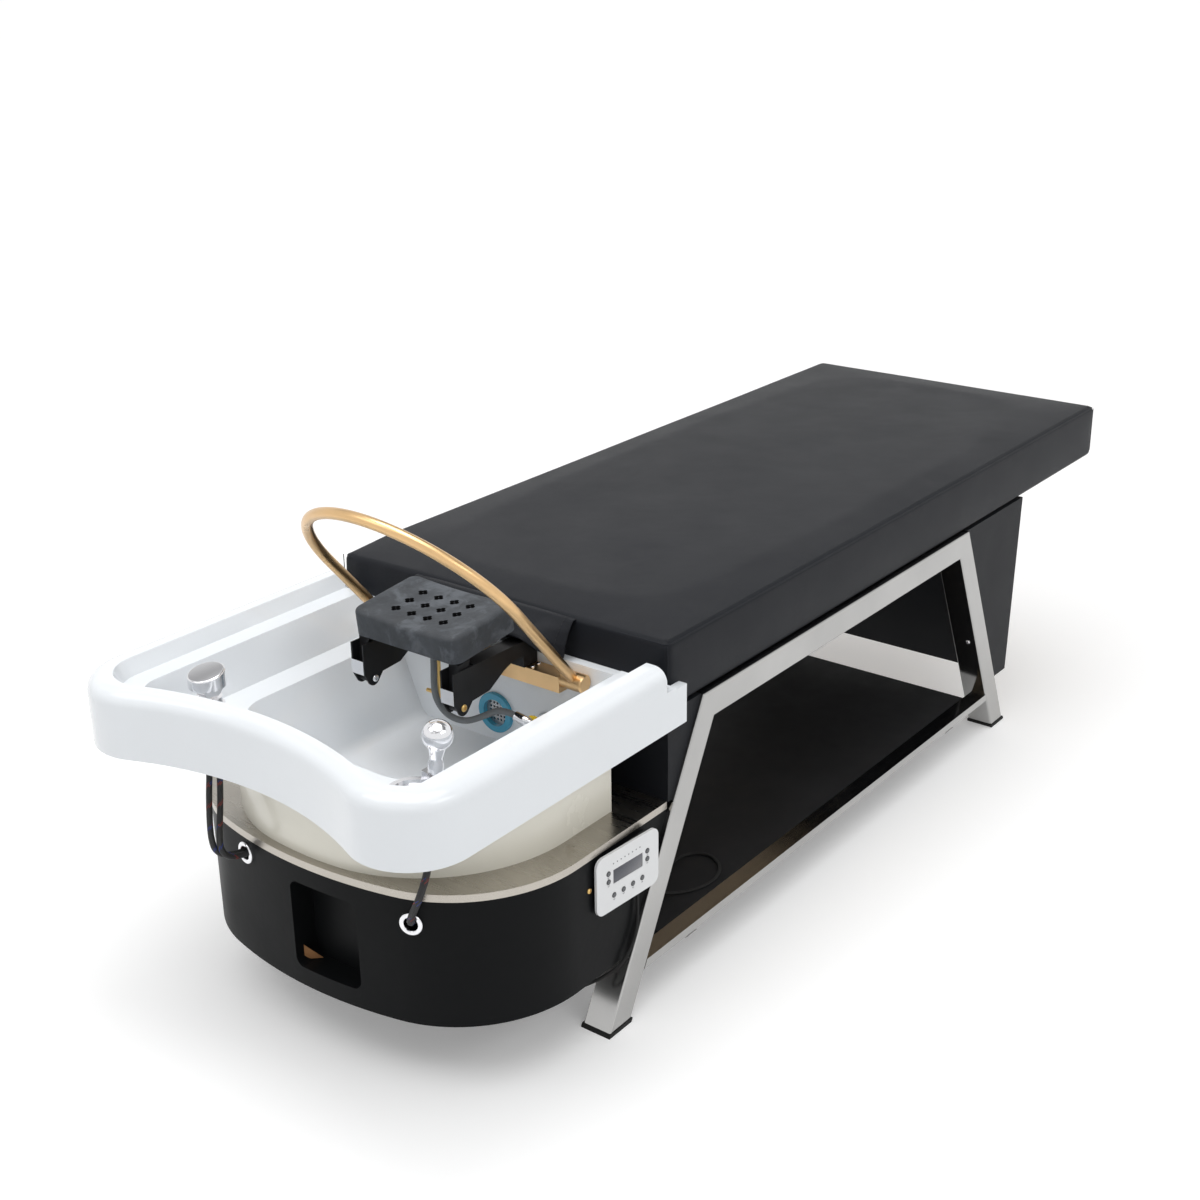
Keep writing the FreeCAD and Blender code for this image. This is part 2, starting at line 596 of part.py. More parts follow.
class Plan:
    """A plan with straight sides, a bowed front and a round corner on each side of it."""

    def __init__(self, side, front, bow, corner):
        self.side = side
        self.bow = bow
        self.corner = corner
        self.bow_middle = from_head(-front) + bow
        self.corner_side = side - corner
        reach = root_of((bow - corner) * (bow - corner) - self.corner_side * self.corner_side)
        self.reach_share = reach / (bow - corner)
        self.side_share = self.corner_side / (bow - corner)
        self.corner_middle = self.bow_middle - reach

    def corners(self, inset, rear):
        """The outline drawn in by an inset, closed by a straight rear edge."""
        side = self.side - inset
        bow = self.bow - inset
        corner = self.corner - inset
        meet = self.bow_middle - bow * self.reach_share
        meet_side = bow * self.side_share
        return [(rear, -side), (rear, side), (self.corner_middle, side, corner), (meet, meet_side, bow),
                (meet, -meet_side, corner), (self.corner_middle, -side)]

    def spot(self, side, up):
        """The place and the outward direction of a point on the outline's front or corner."""
        middle = Vector(self.bow_middle.value, 0, up.value)
        radius = self.bow.value
        if abs(side.value) > self.bow.value * self.side_share.value:
            middle = Vector(self.corner_middle.value, math.copysign(self.corner_side.value, side.value),
                            up.value)
            radius = self.corner.value
        outward = Vector(-math.sqrt(radius ** 2 - (side.value - middle.y) ** 2), side.value - middle.y, 0)
        return middle + outward, outward.normalize()


TANK = Plan(TANK_SIDE, TANK_FRONT, S.tank_front_radius, TANK_SIDE - S.tank_flat)
SKIRT_SIDE = S.bed_wide / 2 - S.skirt_inset
SKIRT = Plan(SKIRT_SIDE, SKIRT_FRONT, S.skirt_front_radius, SKIRT_SIDE - S.skirt_flat)
TRAY_LOW = S.tray_high - S.tray_deep


def rounded(left, low, right, high, corner):
    """A rectangle with round corners."""
    return [(left + corner, low), (right - corner, low, corner), (right, low + corner),
            (right, high - corner, corner), (right - corner, high), (left + corner, high, corner),
            (left, high - corner), (left, low + corner, corner)]


def tank_block(label, inset, low, high):
    """The tank's form drawn in by an inset: full width up to the front legs, narrower between them,
    with the recess in its front that much larger."""
    item = body(label)
    rear = HEAD - inset
    pad(item, outline(item, "XY_Plane", TANK.corners(inset, rear), low), high - low, False)
    between = FRAME_WIDE / 2 - S.tube_wide - S.tank_leg_gap - inset
    ahead = -inset / S.tube_deep
    behind = HEAD + S.tube_deep
    beside = [(FRONT.line(low - S.overrun, ahead), low - S.overrun), (behind, low - S.overrun),
              (behind, high + S.overrun), (FRONT.line(high + S.overrun, ahead), high + S.overrun)]
    for offset, reverse in ((between, True), (-between, False)):
        pocket(item, outline(item, "XZ_Plane", beside, offset), S.tube_wide + S.overrun, False, reverse)
    return item


def tank_recess(item, inset):
    """The hand recess in the tank's front."""
    corners = rounded(-S.recess_near - inset, S.recess_low - inset, S.recess_far + inset,
                      S.recess_high + inset, S.recess_corner + inset)
    back = from_head(-TANK_FRONT) + S.recess_deep + inset
    pocket(item, outline(item, "YZ_Plane", corners, back), S.recess_deep * 2, False)


def grommet_spots():
    return [TANK.spot(S.grommet_near - TANK_SIDE, S.grommet_near_high),
            TANK.spot(TANK_SIDE - S.grommet_far, S.grommet_far_high)]


def tank_shell():
    outside = tank_block("tank_outside", ZERO, S.tank_low, TRAY_LOW)
    tank_recess(outside, ZERO)
    inside = tank_block("tank_inside", S.tank_wall, S.tank_low - S.overrun, TRAY_LOW + S.overrun)
    tank_recess(inside, S.tank_wall)
    drills = []
    for index, (spot, outward) in enumerate(grommet_spots()):
        drill = cylinder(f"grommet_drill_{index}", S.grommet_sleeve + S.grommet_gap * 2,
                         S.tank_wall * 2 + S.overrun * 2)
        start = spot - outward * (S.tank_wall + S.overrun).value
        drill.Placement = Placement(start, Rotation(FLAT, outward))
        drills.append(drill)
    return cut("tank_shell", outside, fuse("tank_openings", [inside] + drills))


def tank_base():
    return tank_block("tank_base", S.tank_wall + S.base_gap, S.tank_low, S.tank_low + S.base_thick)


def steel_tray():
    """The tank's lid: a folded sheet with its rim turned down all round."""
    item = body("steel_tray")
    lip = -S.tray_lip
    pad(item, outline(item, "XY_Plane", TANK.corners(lip, HEAD), TRAY_LOW), S.tray_deep, False)
    inner = TANK.corners(S.tray_wall - S.tray_lip, HEAD - S.tray_wall)
    pocket(item, outline(item, "XY_Plane", inner, TRAY_LOW), S.tray_deep - S.tray_wall, False, True)
    return item


def hose_grommets():
    """Chrome rings, each with a sleeve through the tank wall."""
    members = []
    for index, (spot, outward) in enumerate(grommet_spots()):
        item = body(f"grommet_{index}")
        bore = S.grommet_bore / 2
        sleeve = S.grommet_sleeve / 2
        rim = S.grommet_wide / 2
        edge = S.grommet_edge
        turned(item, [(bore, -S.grommet_sleeve_long), (sleeve, -S.grommet_sleeve_long), (sleeve, ZERO),
                      (rim, ZERO), (rim, S.grommet_thick - edge, edge),
                      (rim - edge, S.grommet_thick), (bore + edge, S.grommet_thick, edge),
                      (bore, S.grommet_thick - edge)])
        item.Placement = Placement(spot, Rotation(FLAT, outward))
        members.append(item)
    return group("hose_grommets", members)


def circulation_pump():
    """A round pump on its foot, with the wet end on top and a side outlet."""
    low = S.tank_low + S.base_thick
    x = from_head(-S.pump_front)
    foot = place(cylinder("pump_foot", S.pump_foot_wide, S.pump_foot_thick), x, -S.pump_side, low)
    motor = place(cylinder("pump_motor", S.pump_wide, S.pump_long), x, -S.pump_side,
                  low + S.pump_foot_thick)
    top = low + S.pump_foot_thick + S.pump_long
    wet_end = place(cylinder("pump_wet_end", S.pump_head_wide, S.pump_head_long), x, -S.pump_side, top)
    outlet = cylinder("pump_outlet", S.pipe_stub_wide, S.pump_head_wide / 2 + S.pipe_stub_long,
                      Vector(1, 0, 0))
    place(outlet, x, -S.pump_side, top + S.pump_head_long / 2)
    return fuse("circulation_pump", [foot, motor, wet_end, outlet])


def heater_unit():
    """An upright heating vessel with a flange at its foot and a pipe stub on top."""
    low = S.tank_low + S.base_thick
    x = from_head(-S.heater_front)
    flange = place(cylinder("heater_flange", S.heater_flange, S.heater_flange_thick), x, S.heater_side, low)
    vessel = place(cylinder("heater_vessel", S.heater_wide, S.heater_long - S.pipe_stub_long), x,
                   S.heater_side, low)
    stub = place(cylinder("heater_stub", S.pipe_stub_wide, S.heater_long), x, S.heater_side, low)
    return fuse("heater_unit", [flange, vessel, stub])


# Basin

class Level:
    """A level of the basin's moulding: two rounded lobes with a hollowed waist between them."""

    def __init__(self, side_inset, front_inset, lobe, waist):
        self.side = float(BASIN_WIDE / 2 - side_inset)
        self.front = float(from_head(-S.basin_reach) + front_inset)
        self.lobe = float(lobe)
        self.waist = float(waist)

    def wire(self, rear, up):
        """The level's outline at a height, closed by a straight rear edge."""
        lobe_side = self.side - self.lobe
        lobe_middle = self.front + self.lobe
        span = (self.waist ** 2 + lobe_side ** 2) / (2 * self.waist)
        hollow_middle = self.front + self.waist - (span - self.lobe)
        share = self.lobe / span
        meet = lobe_middle + (hollow_middle - lobe_middle) * share
        meet_side = lobe_side * (1 - share)
        lobe_turn = math.atan2(meet_side - lobe_side, meet - lobe_middle) % (2 * math.pi)
        turn = (math.pi / 2 + lobe_turn) / 2
        lobe_point = (lobe_middle + self.lobe * math.cos(turn), lobe_side + self.lobe * math.sin(turn))
        rear = float(rear)
        up = float(up)

        def at(x, y):
            return Vector(x, y, up)

        far = Part.Arc(at(lobe_middle, self.side), at(*lobe_point), at(meet, meet_side))
        waist = Part.Arc(at(meet, meet_side), at(self.front + self.waist, 0), at(meet, -meet_side))
        near = Part.Arc(at(meet, -meet_side), at(lobe_point[0], -lobe_point[1]), at(lobe_middle, -self.side))
        edges = [Part.LineSegment(at(rear, -self.side), at(rear, self.side)),
                 Part.LineSegment(at(rear, self.side), at(lobe_middle, self.side)), far, waist, near,
                 Part.LineSegment(at(lobe_middle, -self.side), at(rear, -self.side))]
        return Part.Wire([edge.toShape() for edge in edges])


def upright(level, rear, low, high):
    """A level's outline drawn straight up."""
    return Part.Face(level.wire(rear, low)).extrude(Vector(0, 0, float(high) - float(low)))


def bowl_wire(inset, level_share, up):
    """The bowl's outline, between its mouth (0) and its floor (1), drawn in by an inset."""
    def between(mouth, floor):
        return float(mouth) + (float(floor) - float(mouth)) * level_share

    side = float(BASIN_WIDE / 2) - between(S.bowl_side, S.bowl_low_side) - inset
    front = float(from_head(-S.basin_reach)) + between(S.bowl_front, S.bowl_low_front) + inset
    rear = float(HEAD) - float(S.bowl_rear) - inset
    corner = between(S.bowl_corner, S.bowl_low_corner) - inset
    slant = corner * (1 - math.sqrt(0.5))
    up = float(up)

    def at(x, y):
        return Vector(x, y, up)

    far = Part.Arc(at(front + corner, side), at(front + slant, side - slant), at(front, side - corner))
    near = Part.Arc(at(front, corner - side), at(front + slant, slant - side), at(front + corner, -side))
    edges = [Part.LineSegment(at(rear, -side), at(rear, side)),
             Part.LineSegment(at(rear, side), at(front + corner, side)), far,
             Part.LineSegment(at(front, side - corner), at(front, corner - side)), near,
             Part.LineSegment(at(front + corner, -side), at(rear, -side))]
    return Part.Wire([edge.toShape() for edge in edges])


def bowl_solid(inset, low):
    """The bowl from above the deck down to a height, with its floor's edge rounded."""
    deep = float(S.deck_high) - float(S.bowl_low)
    high = float(S.deck_high) + float(S.overrun)
    shares = [-float(S.overrun) / deep, (float(S.deck_high) - float(low)) / deep]
    solid = Part.makeLoft([bowl_wire(inset, shares[0], high), bowl_wire(inset, shares[1], low)], True, True)
    floor = float(low)
    edges = [edge for edge in solid.Edges
             if all(abs(vertex.Z - floor) < 0.01 for vertex in edge.Vertexes)
             and edge.CenterOfMass.x < float(HEAD) - float(S.bowl_rear) - inset - 1e-3]
    return solid.makeFillet(float(S.bowl_fold) - inset, edges)


def box(left, right, near, far, low, high):
    left, right, near, far, low, high = (float(size) for size in (left, right, near, far, low, high))
    return Part.makeBox(right - left, far - near, high - low, Vector(left, near, low))


OUTER = Level(ZERO, ZERO, S.basin_lobe, S.basin_waist)
APRON = Level(S.apron_wall, S.apron_wall, S.basin_lobe - S.apron_wall, S.basin_waist)
RIM = Level(S.rim_side, S.rim_front, S.rim_lobe, S.inner_waist)
SLOPE = Level(S.slope_side, S.slope_front, S.slope_lobe, S.inner_waist)
LEDGE = Level(S.ledge_side, S.ledge_front, S.ledge_lobe, S.inner_waist)
DECK = Level(S.deck_side, S.deck_front, S.deck_lobe, S.inner_waist)
HOLLOW = Level(S.hollow_side, S.hollow_front, S.hollow_lobe, S.basin_waist)
BASIN_REAR = HEAD - S.basin_rear
BOWL_REAR = HEAD - S.bowl_rear
DECK_LOW = S.deck_high - S.deck_thick


def basin_well():
    """What the basin is open to above its deck: rim, sloping lip, ledge and inner wall."""
    above = upright(RIM, BOWL_REAR, S.basin_high, S.basin_high + S.overrun)
    lip = Part.makeLoft([RIM.wire(BOWL_REAR, S.basin_high), SLOPE.wire(BOWL_REAR, S.ledge_high)], True, True)
    wall = Part.makeLoft([LEDGE.wire(BOWL_REAR, S.ledge_high), DECK.wire(BOWL_REAR, S.deck_high)], True, True)
    return above.fuse([lip, wall])


def basin_underside():
    """The apron is open from below, up under the deck and, beside it, up under the rim."""
    rear = HEAD - S.apron_wall
    under_deck = upright(APRON, rear, S.apron_low - S.overrun, DECK_LOW)
    under_rim = upright(APRON, rear, DECK_LOW, S.hollow_high)
    return under_deck.fuse(under_rim.cut(upright(HOLLOW, HEAD + S.overrun, DECK_LOW, S.hollow_high)))


def basin_wing(sign):
    """A cheek of the apron that runs on past the head face, outside the cushion."""
    inner = (S.bed_wide / 2 + S.wing_gap).value
    outer = (BASIN_WIDE / 2).value
    near, far = sorted((inner * sign, outer * sign))
    return box(BASIN_REAR, from_head(S.wing_rear), near, far, S.apron_low, S.wing_high)


def basin():
    """The moulded basin: an apron with two lobes, a rolled rim, a ledge, a deck and a deeper bowl."""
    block = upright(OUTER, BASIN_REAR, S.apron_low, S.basin_high)
    top = float(S.basin_high)
    rear = float(BASIN_REAR)
    rim = [edge for edge in block.Edges if all(abs(vertex.Z - top) < 0.01 for vertex in edge.Vertexes)
           and edge.CenterOfMass.x < rear - 1]
    block = block.makeFillet(float(S.rim_round), rim)
    drop = box(HEAD - S.wing_front, HEAD + S.overrun, -BASIN_WIDE, BASIN_WIDE, S.rear_rim_high,
               S.basin_high + S.overrun)
    shell = block.cut([basin_underside(), basin_well(), drop])
    bowl = bowl_solid(0, S.bowl_low)
    outside = bowl_solid(-float(S.bowl_wall), S.bowl_low - S.bowl_wall)
    outside = outside.common(upright(OUTER, BASIN_REAR, S.bowl_low - S.bowl_wall, DECK_LOW))
    shell = shell.fuse([outside, basin_wing(-1), basin_wing(1)]).removeSplitter()
    neck = strainer_bar(S.strainer_neck + S.neck_gap * 2, -S.overrun, S.bowl_wall + S.overrun)
    inlet = feed_bar(S.feed_pipe_wide + S.neck_gap * 2, -S.overrun, S.bowl_wall + S.overrun)
    return shape_node("basin", shell.cut([bowl, neck, inlet] + deck_holes()))


def strainer_bar(wide, start, stop):
    """A round bar on the strainer's axis, from before the bowl's rear wall (0) to behind it."""
    base = Vector(float(BOWL_REAR + start), -S.strainer_side.value, S.strainer_high.value)
    return Part.makeCylinder(float(wide) / 2, float(stop) - float(start), base, Vector(1, 0, 0))


def feed_bar(wide, start, stop):
    """A round bar on the feed pipe's axis through the bowl's rear wall."""
    base = Vector(float(BOWL_REAR + start), -FEED_SIDE.value, S.feed_high.value)
    return Part.makeCylinder(float(wide) / 2, float(stop) - float(start), base, Vector(1, 0, 0))


def deck_holes():
    """Bores in the deck for the mixer's stud and for the hand shower's hose."""
    drills = []
    for x, y, wide in ((from_head(-MIXER_FRONT), MIXER_SIDE, S.mixer_stud_wide + S.mixer_gap * 2),
                       (from_head(-SADDLE_FRONT), -SADDLE_SIDE, S.saddle_stud_wide + S.mixer_gap * 2)):
        base = Vector(float(x), float(y), float(DECK_LOW - S.overrun))
        drills.append(Part.makeCylinder(float(wide) / 2, float(S.deck_thick + S.overrun * 2), base))
    return drills


def basin_skirt():
    """A bowed wall between the tray and the basin's deck, open at the rear."""
    item = body("basin_skirt")
    rear = from_head(-S.skirt_rear)
    high = DECK_LOW - S.tray_high
    pad(item, outline(item, "XY_Plane", SKIRT.corners(ZERO, rear), S.tray_high), high, False)
    inner = SKIRT.corners(S.skirt_wall, rear + S.overrun)
    pocket(item, outline(item, "XY_Plane", inner, S.tray_high), high, False, True)
    return item


# Strainer and waste

def strainer_ring():
    """A flange on the bowl's rear wall with a neck through it."""
    flange = strainer_bar(S.strainer_wide, -S.strainer_thick, ZERO)
    flange = flange.makeFillet(float(S.strainer_edge), [flange.Edges[2]])
    neck = strainer_bar(S.strainer_neck, ZERO, S.strainer_neck_long)
    bore = strainer_bar(S.strainer_bore, -S.strainer_thick - S.overrun, S.strainer_neck_long + S.overrun)
    return shape_node("strainer_ring", flange.fuse(neck).cut(bore))


def strainer_mesh():
    """A perforated disc seated in the ring's bore."""
    back = S.mesh_set
    disc = strainer_bar(S.strainer_bore - S.neck_gap, back, back + S.mesh_thick)
    holes = []
    reach = float(S.strainer_bore - S.mesh_hole) / 2 - float(S.mesh_thick)
    pitch = float(S.mesh_pitch)
    count = int(reach / pitch)
    for column in range(-count, count + 1):
        for row in range(-count, count + 1):
            if math.hypot(column * pitch, row * pitch) > reach:
                continue
            hole = strainer_bar(S.mesh_hole, back - S.overrun, back + S.overrun)
            hole.translate(Vector(0, column * pitch, row * pitch))
            holes.append(hole)
    return shape_node("strainer_mesh", disc.cut(holes))


def waste_pipe():
    """A closed cup behind the bowl's rear wall, with a spigot down inside the head box."""
    wide = S.strainer_neck + (S.neck_gap + S.waste_wall) * 2
    cup = strainer_bar(wide, S.bowl_wall, S.bowl_wall + S.waste_long)
    bore = strainer_bar(wide - S.waste_wall * 2, S.bowl_wall - S.overrun,
                        S.bowl_wall + S.waste_long - S.waste_wall)
    foot = Vector(float(BOWL_REAR + S.bowl_wall + S.waste_long - S.spigot_back), -S.strainer_side.value,
                  S.spigot_low.value)
    spigot = Part.makeCylinder(float(S.spigot_wide) / 2, float(S.strainer_high - S.spigot_low), foot)
    inner = float(S.spigot_wide) / 2 - float(S.waste_wall)
    drop = Part.makeCylinder(inner, float(S.strainer_high - S.spigot_low + S.overrun), foot
                             - Vector(0, 0, float(S.overrun)))
    return shape_node("waste_pipe", cup.fuse(spigot).cut([bore, drop]))


# Mixer

def mixer_spot(item, up=ZERO):
    return place(item, from_head(-MIXER_FRONT), MIXER_SIDE, up)


def mixer_body():
    """A column on the deck with an escutcheon, its shank through the deck, and the nut below."""
    column = body("mixer_column")
    foot = S.deck_high
    top = foot + S.mixer_body_high
    shank = S.mixer_stud_wide / 2
    turned(column, [(ZERO, S.shank_low), (shank, S.shank_low), (shank, foot), (S.mixer_base_wide / 2, foot),
                    (S.mixer_base_wide / 2, foot + S.mixer_base_thick),
                    (S.mixer_wide / 2, foot + S.mixer_base_thick), (S.mixer_wide / 2, top), (ZERO, top)])
    nut = body("mixer_nut")
    turned(nut, [(shank + S.mixer_gap, DECK_LOW - S.nut_thick), (S.nut_wide / 2, DECK_LOW - S.nut_thick),
                 (S.nut_wide / 2, DECK_LOW), (shank + S.mixer_gap, DECK_LOW)])
    return group("mixer_body", [mixer_spot(column), mixer_spot(nut)])


CARTRIDGE_LOW = S.deck_high + S.mixer_body_high + S.mixer_gap
LEVER_PIVOT = CARTRIDGE_LOW + S.cartridge_neck + S.mixer_barrel / 2


# The stem under the lever's barrel as a share of the barrel.
BARREL_STEM_SHARE = 0.7


def barrel(label, gap):
    """The cross barrel that the lever rocks on, grown by a gap."""
    item = cylinder(label, (S.mixer_barrel / 2 + gap) * 2, S.barrel_long + gap * 2, Vector(0, 1, 0))
    return place(item, from_head(-MIXER_FRONT), MIXER_SIDE - S.barrel_long / 2 - gap, LEVER_PIVOT)


def mixer_cartridge():
    """A turning neck that carries the barrel under the lever."""
    low = CARTRIDGE_LOW
    neck = place(cylinder("cartridge_neck", S.cartridge_wide, S.cartridge_neck), from_head(-MIXER_FRONT),
                 MIXER_SIDE, low)
    stem = place(cylinder("cartridge_stem", S.mixer_barrel * BARREL_STEM_SHARE, S.mixer_barrel / 2 + S.cartridge_neck),
                 from_head(-MIXER_FRONT), MIXER_SIDE, low)
    return fuse("mixer_cartridge", [neck, stem, barrel("cartridge_barrel", ZERO)])


def mixer_lever():
    """A slanted oval cap with a socket for the barrel in its underside."""
    cap = body("lever_cap")
    pad(cap, circles(cap, "XY_Plane", [(ZERO, ZERO)], S.lever_wide, LEVER_PIVOT), S.lever_high, False)
    high = LEVER_PIVOT + S.lever_high
    half = S.lever_wide / 2 + S.overrun
    slope = [(-half, high - S.lever_drop), (half, high), (half, high + S.overrun), (-half, high + S.overrun)]
    pocket(cap, outline(cap, "XZ_Plane", slope), S.lever_wide * 2)
    fillet(cap, S.lever_edge, lambda edge: edge.CenterOfMass.z > float(LEVER_PIVOT) + 1)
    return cut("mixer_lever", mixer_spot(cap), barrel("lever_socket", S.mixer_gap))


# Hand shower

def shower_placement(up=0):
    """A place on the hand shower's axis, which leans out from the deck."""
    lean = Rotation(Vector(1, 0, 0), S.shower_lean.value)
    foot = Vector(float(from_head(-SADDLE_FRONT)), -SADDLE_SIDE.value, S.deck_high.value)
    return Placement(foot + lean.multVec(Vector(0, 0, float(up))), lean)


def shower_ring():
    """A chrome dish on the deck, cast in one with the block that the hand shower stands in."""
    ring = body("cup_ring")
    inner = S.ring_bore / 2
    outer = S.ring_wide / 2
    turned(ring, [(ZERO, ZERO), (outer, ZERO), (outer, S.ring_floor), (outer - S.ring_edge, S.ring_thick),
                  (inner + S.ring_edge, S.ring_thick), (inner, S.ring_floor), (ZERO, S.ring_floor)])
    place(ring, from_head(-RING_FRONT), -RING_SIDE, S.deck_high)
    half = S.saddle_wide / 2
    long = S.saddle_long / 2
    block = box(-long, long, -half, half, -S.saddle_long, S.saddle_high)
    upright_edges = [edge for edge in block.Edges if straight_along(edge, FLAT)]
    block = block.makeFillet(float(S.ring_edge), upright_edges)
    bore = Part.makeCylinder(float(S.saddle_bore) / 2, float(S.saddle_high + S.overrun) * 2,
                             Vector(0, 0, -float(S.overrun)))
    block.Placement = shower_placement()
    bore.Placement = shower_placement(-S.saddle_high)
    wide = float(S.saddle_wide) * 2
    x = float(from_head(-SADDLE_FRONT))
    y = -SADDLE_SIDE.value
    over_deck = box(x - wide, x + wide, y - wide, y + wide, S.deck_high, S.deck_high + S.saddle_high * 2)
    saddle = shape_node("shower_saddle", block.common(over_deck))
    return cut("shower_ring", fuse("shower_casting", [ring, saddle]), shape_node("shower_bore", bore))


# Where the ball leaves the neck, as shares of the ball's radius, and the neck's waist as a share of it.
BALL_RISE_SHARE = 0.8
BALL_FOOT_SHARE = 0.6
NECK_WAIST_SHARE = 0.8


def shower_head():
    """The hand shower: a neck that swells into a ball."""
    item = body("shower_head")
    low = S.saddle_high + S.shower_gap
    neck = S.neck_wide / 2
    ball = S.ball_wide / 2
    swell = S.ball_high - ball * BALL_RISE_SHARE
    bottom = ball * BALL_FOOT_SHARE
    turned(item, [(ZERO, low), (neck, low), (neck, low + S.neck_high / 3),
                  (neck * NECK_WAIST_SHARE, low + S.neck_high / 2),
                  (bottom, swell, ball), (ZERO, S.ball_high + ball)])
    item.Placement = shower_placement()
    return item


def shower_coupling():
    """The swivel nut that joins the hand shower to its hose, inside the block."""
    item = cylinder("shower_coupling", S.coupling_wide, S.saddle_high + S.shower_gap + S.coupling_below)
    item.Placement = shower_placement(-S.coupling_below)
    return item


# Arch

def arch_beam():
    """A hollow beam on the basin's rear wall, with a rod through it whose ends are the arch's pins."""
    item = body("arch_beam")
    rear = BOWL_REAR
    front = rear - S.beam_deep
    high = S.beam_high
    low = high - S.beam_thick
    long = (ARCH_HALF - S.hub_inner) * 2 - S.pin_gap * 2
    wall = S.beam_wall
    pad(item, outline(item, "XZ_Plane", [(front, low), (rear, low), (rear, high), (front, high)]), long)
    inner = [(front + wall, low + wall), (rear - wall, low + wall), (rear - wall, high - wall),
             (front + wall, high - wall)]
    pocket(item, outline(item, "XZ_Plane", inner), long - wall * 2)
    rod = [(from_head(-S.arch_back), S.arch_high)]
    pad(item, circles(item, "XZ_Plane", rod, S.pin_wide), long + S.pin_long * 2)
    return item


def arch_placement():
    pivot = Vector(float(from_head(-S.arch_back)), 0, S.arch_high.value)
    return Placement(pivot, Rotation(Vector(0, 1, 0), S.arch_tilt.value))


def arch_hubs():
    """Two turned bosses on the beam's pins, each with a socket for an end of the arch."""
    members = []
    for name, sign in SIDES.items():
        item = body(f"arch_hub_{name}")
        radius = S.hub_wide / 2
        bore = (S.pin_wide + S.pin_gap * 2) / 2
        deep = S.pin_long + S.pin_gap
        edge = S.hub_edge
        turned(item, [(bore, ZERO), (radius, ZERO), (radius, S.hub_long - edge), (radius - edge, S.hub_long),
                      (ZERO, S.hub_long), (ZERO, deep), (bore, deep)])
        pocket(item, circles(item, "YZ_Plane", [(ZERO, S.hub_inner)], S.arch_tube_wide + S.pin_gap * 2,
                             -S.socket_floor), S.hub_wide, False, False)
        item.Placement = arch_placement().multiply(Placement(
            Vector(0, float(ARCH_HALF - S.hub_inner) * sign, 0),
            Rotation(Vector(1, 0, 0), -90.0 * sign)))
        members.append(item)
    return group("arch_hubs", members)


def arch_sweep(wide):
    """The arch's line as a round bar: two legs and a half circle, in the arch's own frame."""
    half = ARCH_HALF.value
    leg = S.arch_leg.value
    start = float(S.socket_floor + S.pin_gap)
    slant = half * math.sqrt(0.5)
    near = Part.LineSegment(Vector(-start, -half, 0), Vector(-leg, -half, 0)).toShape()
    first = Part.Arc(Vector(-leg, -half, 0), Vector(-leg - slant, -slant, 0), Vector(-leg - half, 0, 0))
    second = Part.Arc(Vector(-leg - half, 0, 0), Vector(-leg - slant, slant, 0), Vector(-leg, half, 0))
    far = Part.LineSegment(Vector(-leg, half, 0), Vector(-start, half, 0)).toShape()
    path = Part.Wire([near, first.toShape(), second.toShape(), far])
    ring = Part.Circle(Vector(-start, -half, 0), Vector(-1, 0, 0), float(wide) / 2)
    return path.makePipeShell([Part.Wire([ring.toShape()])], True, False)


def arch_tube():
    bar = arch_sweep(S.arch_tube_wide).cut(arch_sweep(S.arch_tube_wide - S.arch_wall * 2))
    item = shape_node("arch_tube", bar)
    item.Placement = arch_placement()
    return item


# Headrest

# The side outline of an arm, as shares of its length from the front and of its height from the lobe.
ARM_REAR_SHARES = [(0.205, 0.23), (0.41, 0.265), (0.59, 0.54), (0.70, 0.645), (0.825, 0.645), (0.835, 0.365),
                   (1.0, 0.365), (1.0, 0.97)]
LOBE_SHARE = 0.83


def arm_outline():
    """The arm from the side: square at the front, a lobe for the pivot, and a foot on the beam."""
    low = S.lobe_high - S.lobe_wide / 2
    start = from_head(-S.arm_front)
    long = S.arm_front - S.arm_rear
    tall = S.arm_high - low
    lobe = S.lobe_wide / 2
    down = root_of(lobe * lobe * (1 - LOBE_SHARE * LOBE_SHARE))
    middle = from_head(-S.lobe_front)
    corners = [(start, S.arm_high), (start, S.arm_chin),
               (middle - lobe * LOBE_SHARE, S.lobe_high - down, lobe),
               (middle + lobe * LOBE_SHARE, S.lobe_high - down)]
    for along, up in ARM_REAR_SHARES:
        corners.append((start + long * along, low + tall * up))
    return corners


def headrest_arms():
    """Two folded channels, open in front and below, on feet that stand on the beam."""
    members = []
    for name, sign in SIDES.items():
        item = body(f"headrest_arm_{name}")
        pad(item, outline(item, "XZ_Plane", arm_outline()), S.arm_wide)
        inside = S.arm_wide - S.arm_wall * 2
        start = from_head(-S.arm_front) - S.overrun
        stop = from_head(-S.arm_rear - S.arm_foot)
        below = S.lobe_high - S.lobe_wide
        web = S.arm_high - S.arm_wall
        pocket(item, outline(item, "XZ_Plane", [(start, below), (stop, below), (stop, web), (start, web)]),
               inside)
        slot = from_head(-S.lobe_front + S.slot_long)
        above = S.arm_high + S.overrun
        pocket(item, outline(item, "XZ_Plane", [(start, web - S.overrun), (slot, web - S.overrun),
                                                (slot, above), (start, above)]), inside)
        bolt = [(from_head(-S.lobe_front), S.lobe_high)]
        pocket(item, circles(item, "XZ_Plane", bolt, S.bolt_wide + S.pin_gap * 2), S.arm_wide * 2)
        members.append(place(item, side=(S.arm_out - S.arm_wide / 2) * sign))
    return group("headrest_arms", members)


def pad_placement():
    """The top of the headrest's rear edge, with X along the pad's slope."""
    rear = Vector(float(from_head(-S.pad_rear)), 0, S.pad_rear_high.value)
    slope = math.degrees(math.atan2((S.pad_rear_high - S.pad_front_high).value,
                                    (S.pad_front - S.pad_rear).value))
    return Placement(rear, Rotation(Vector(0, 1, 0), -slope))


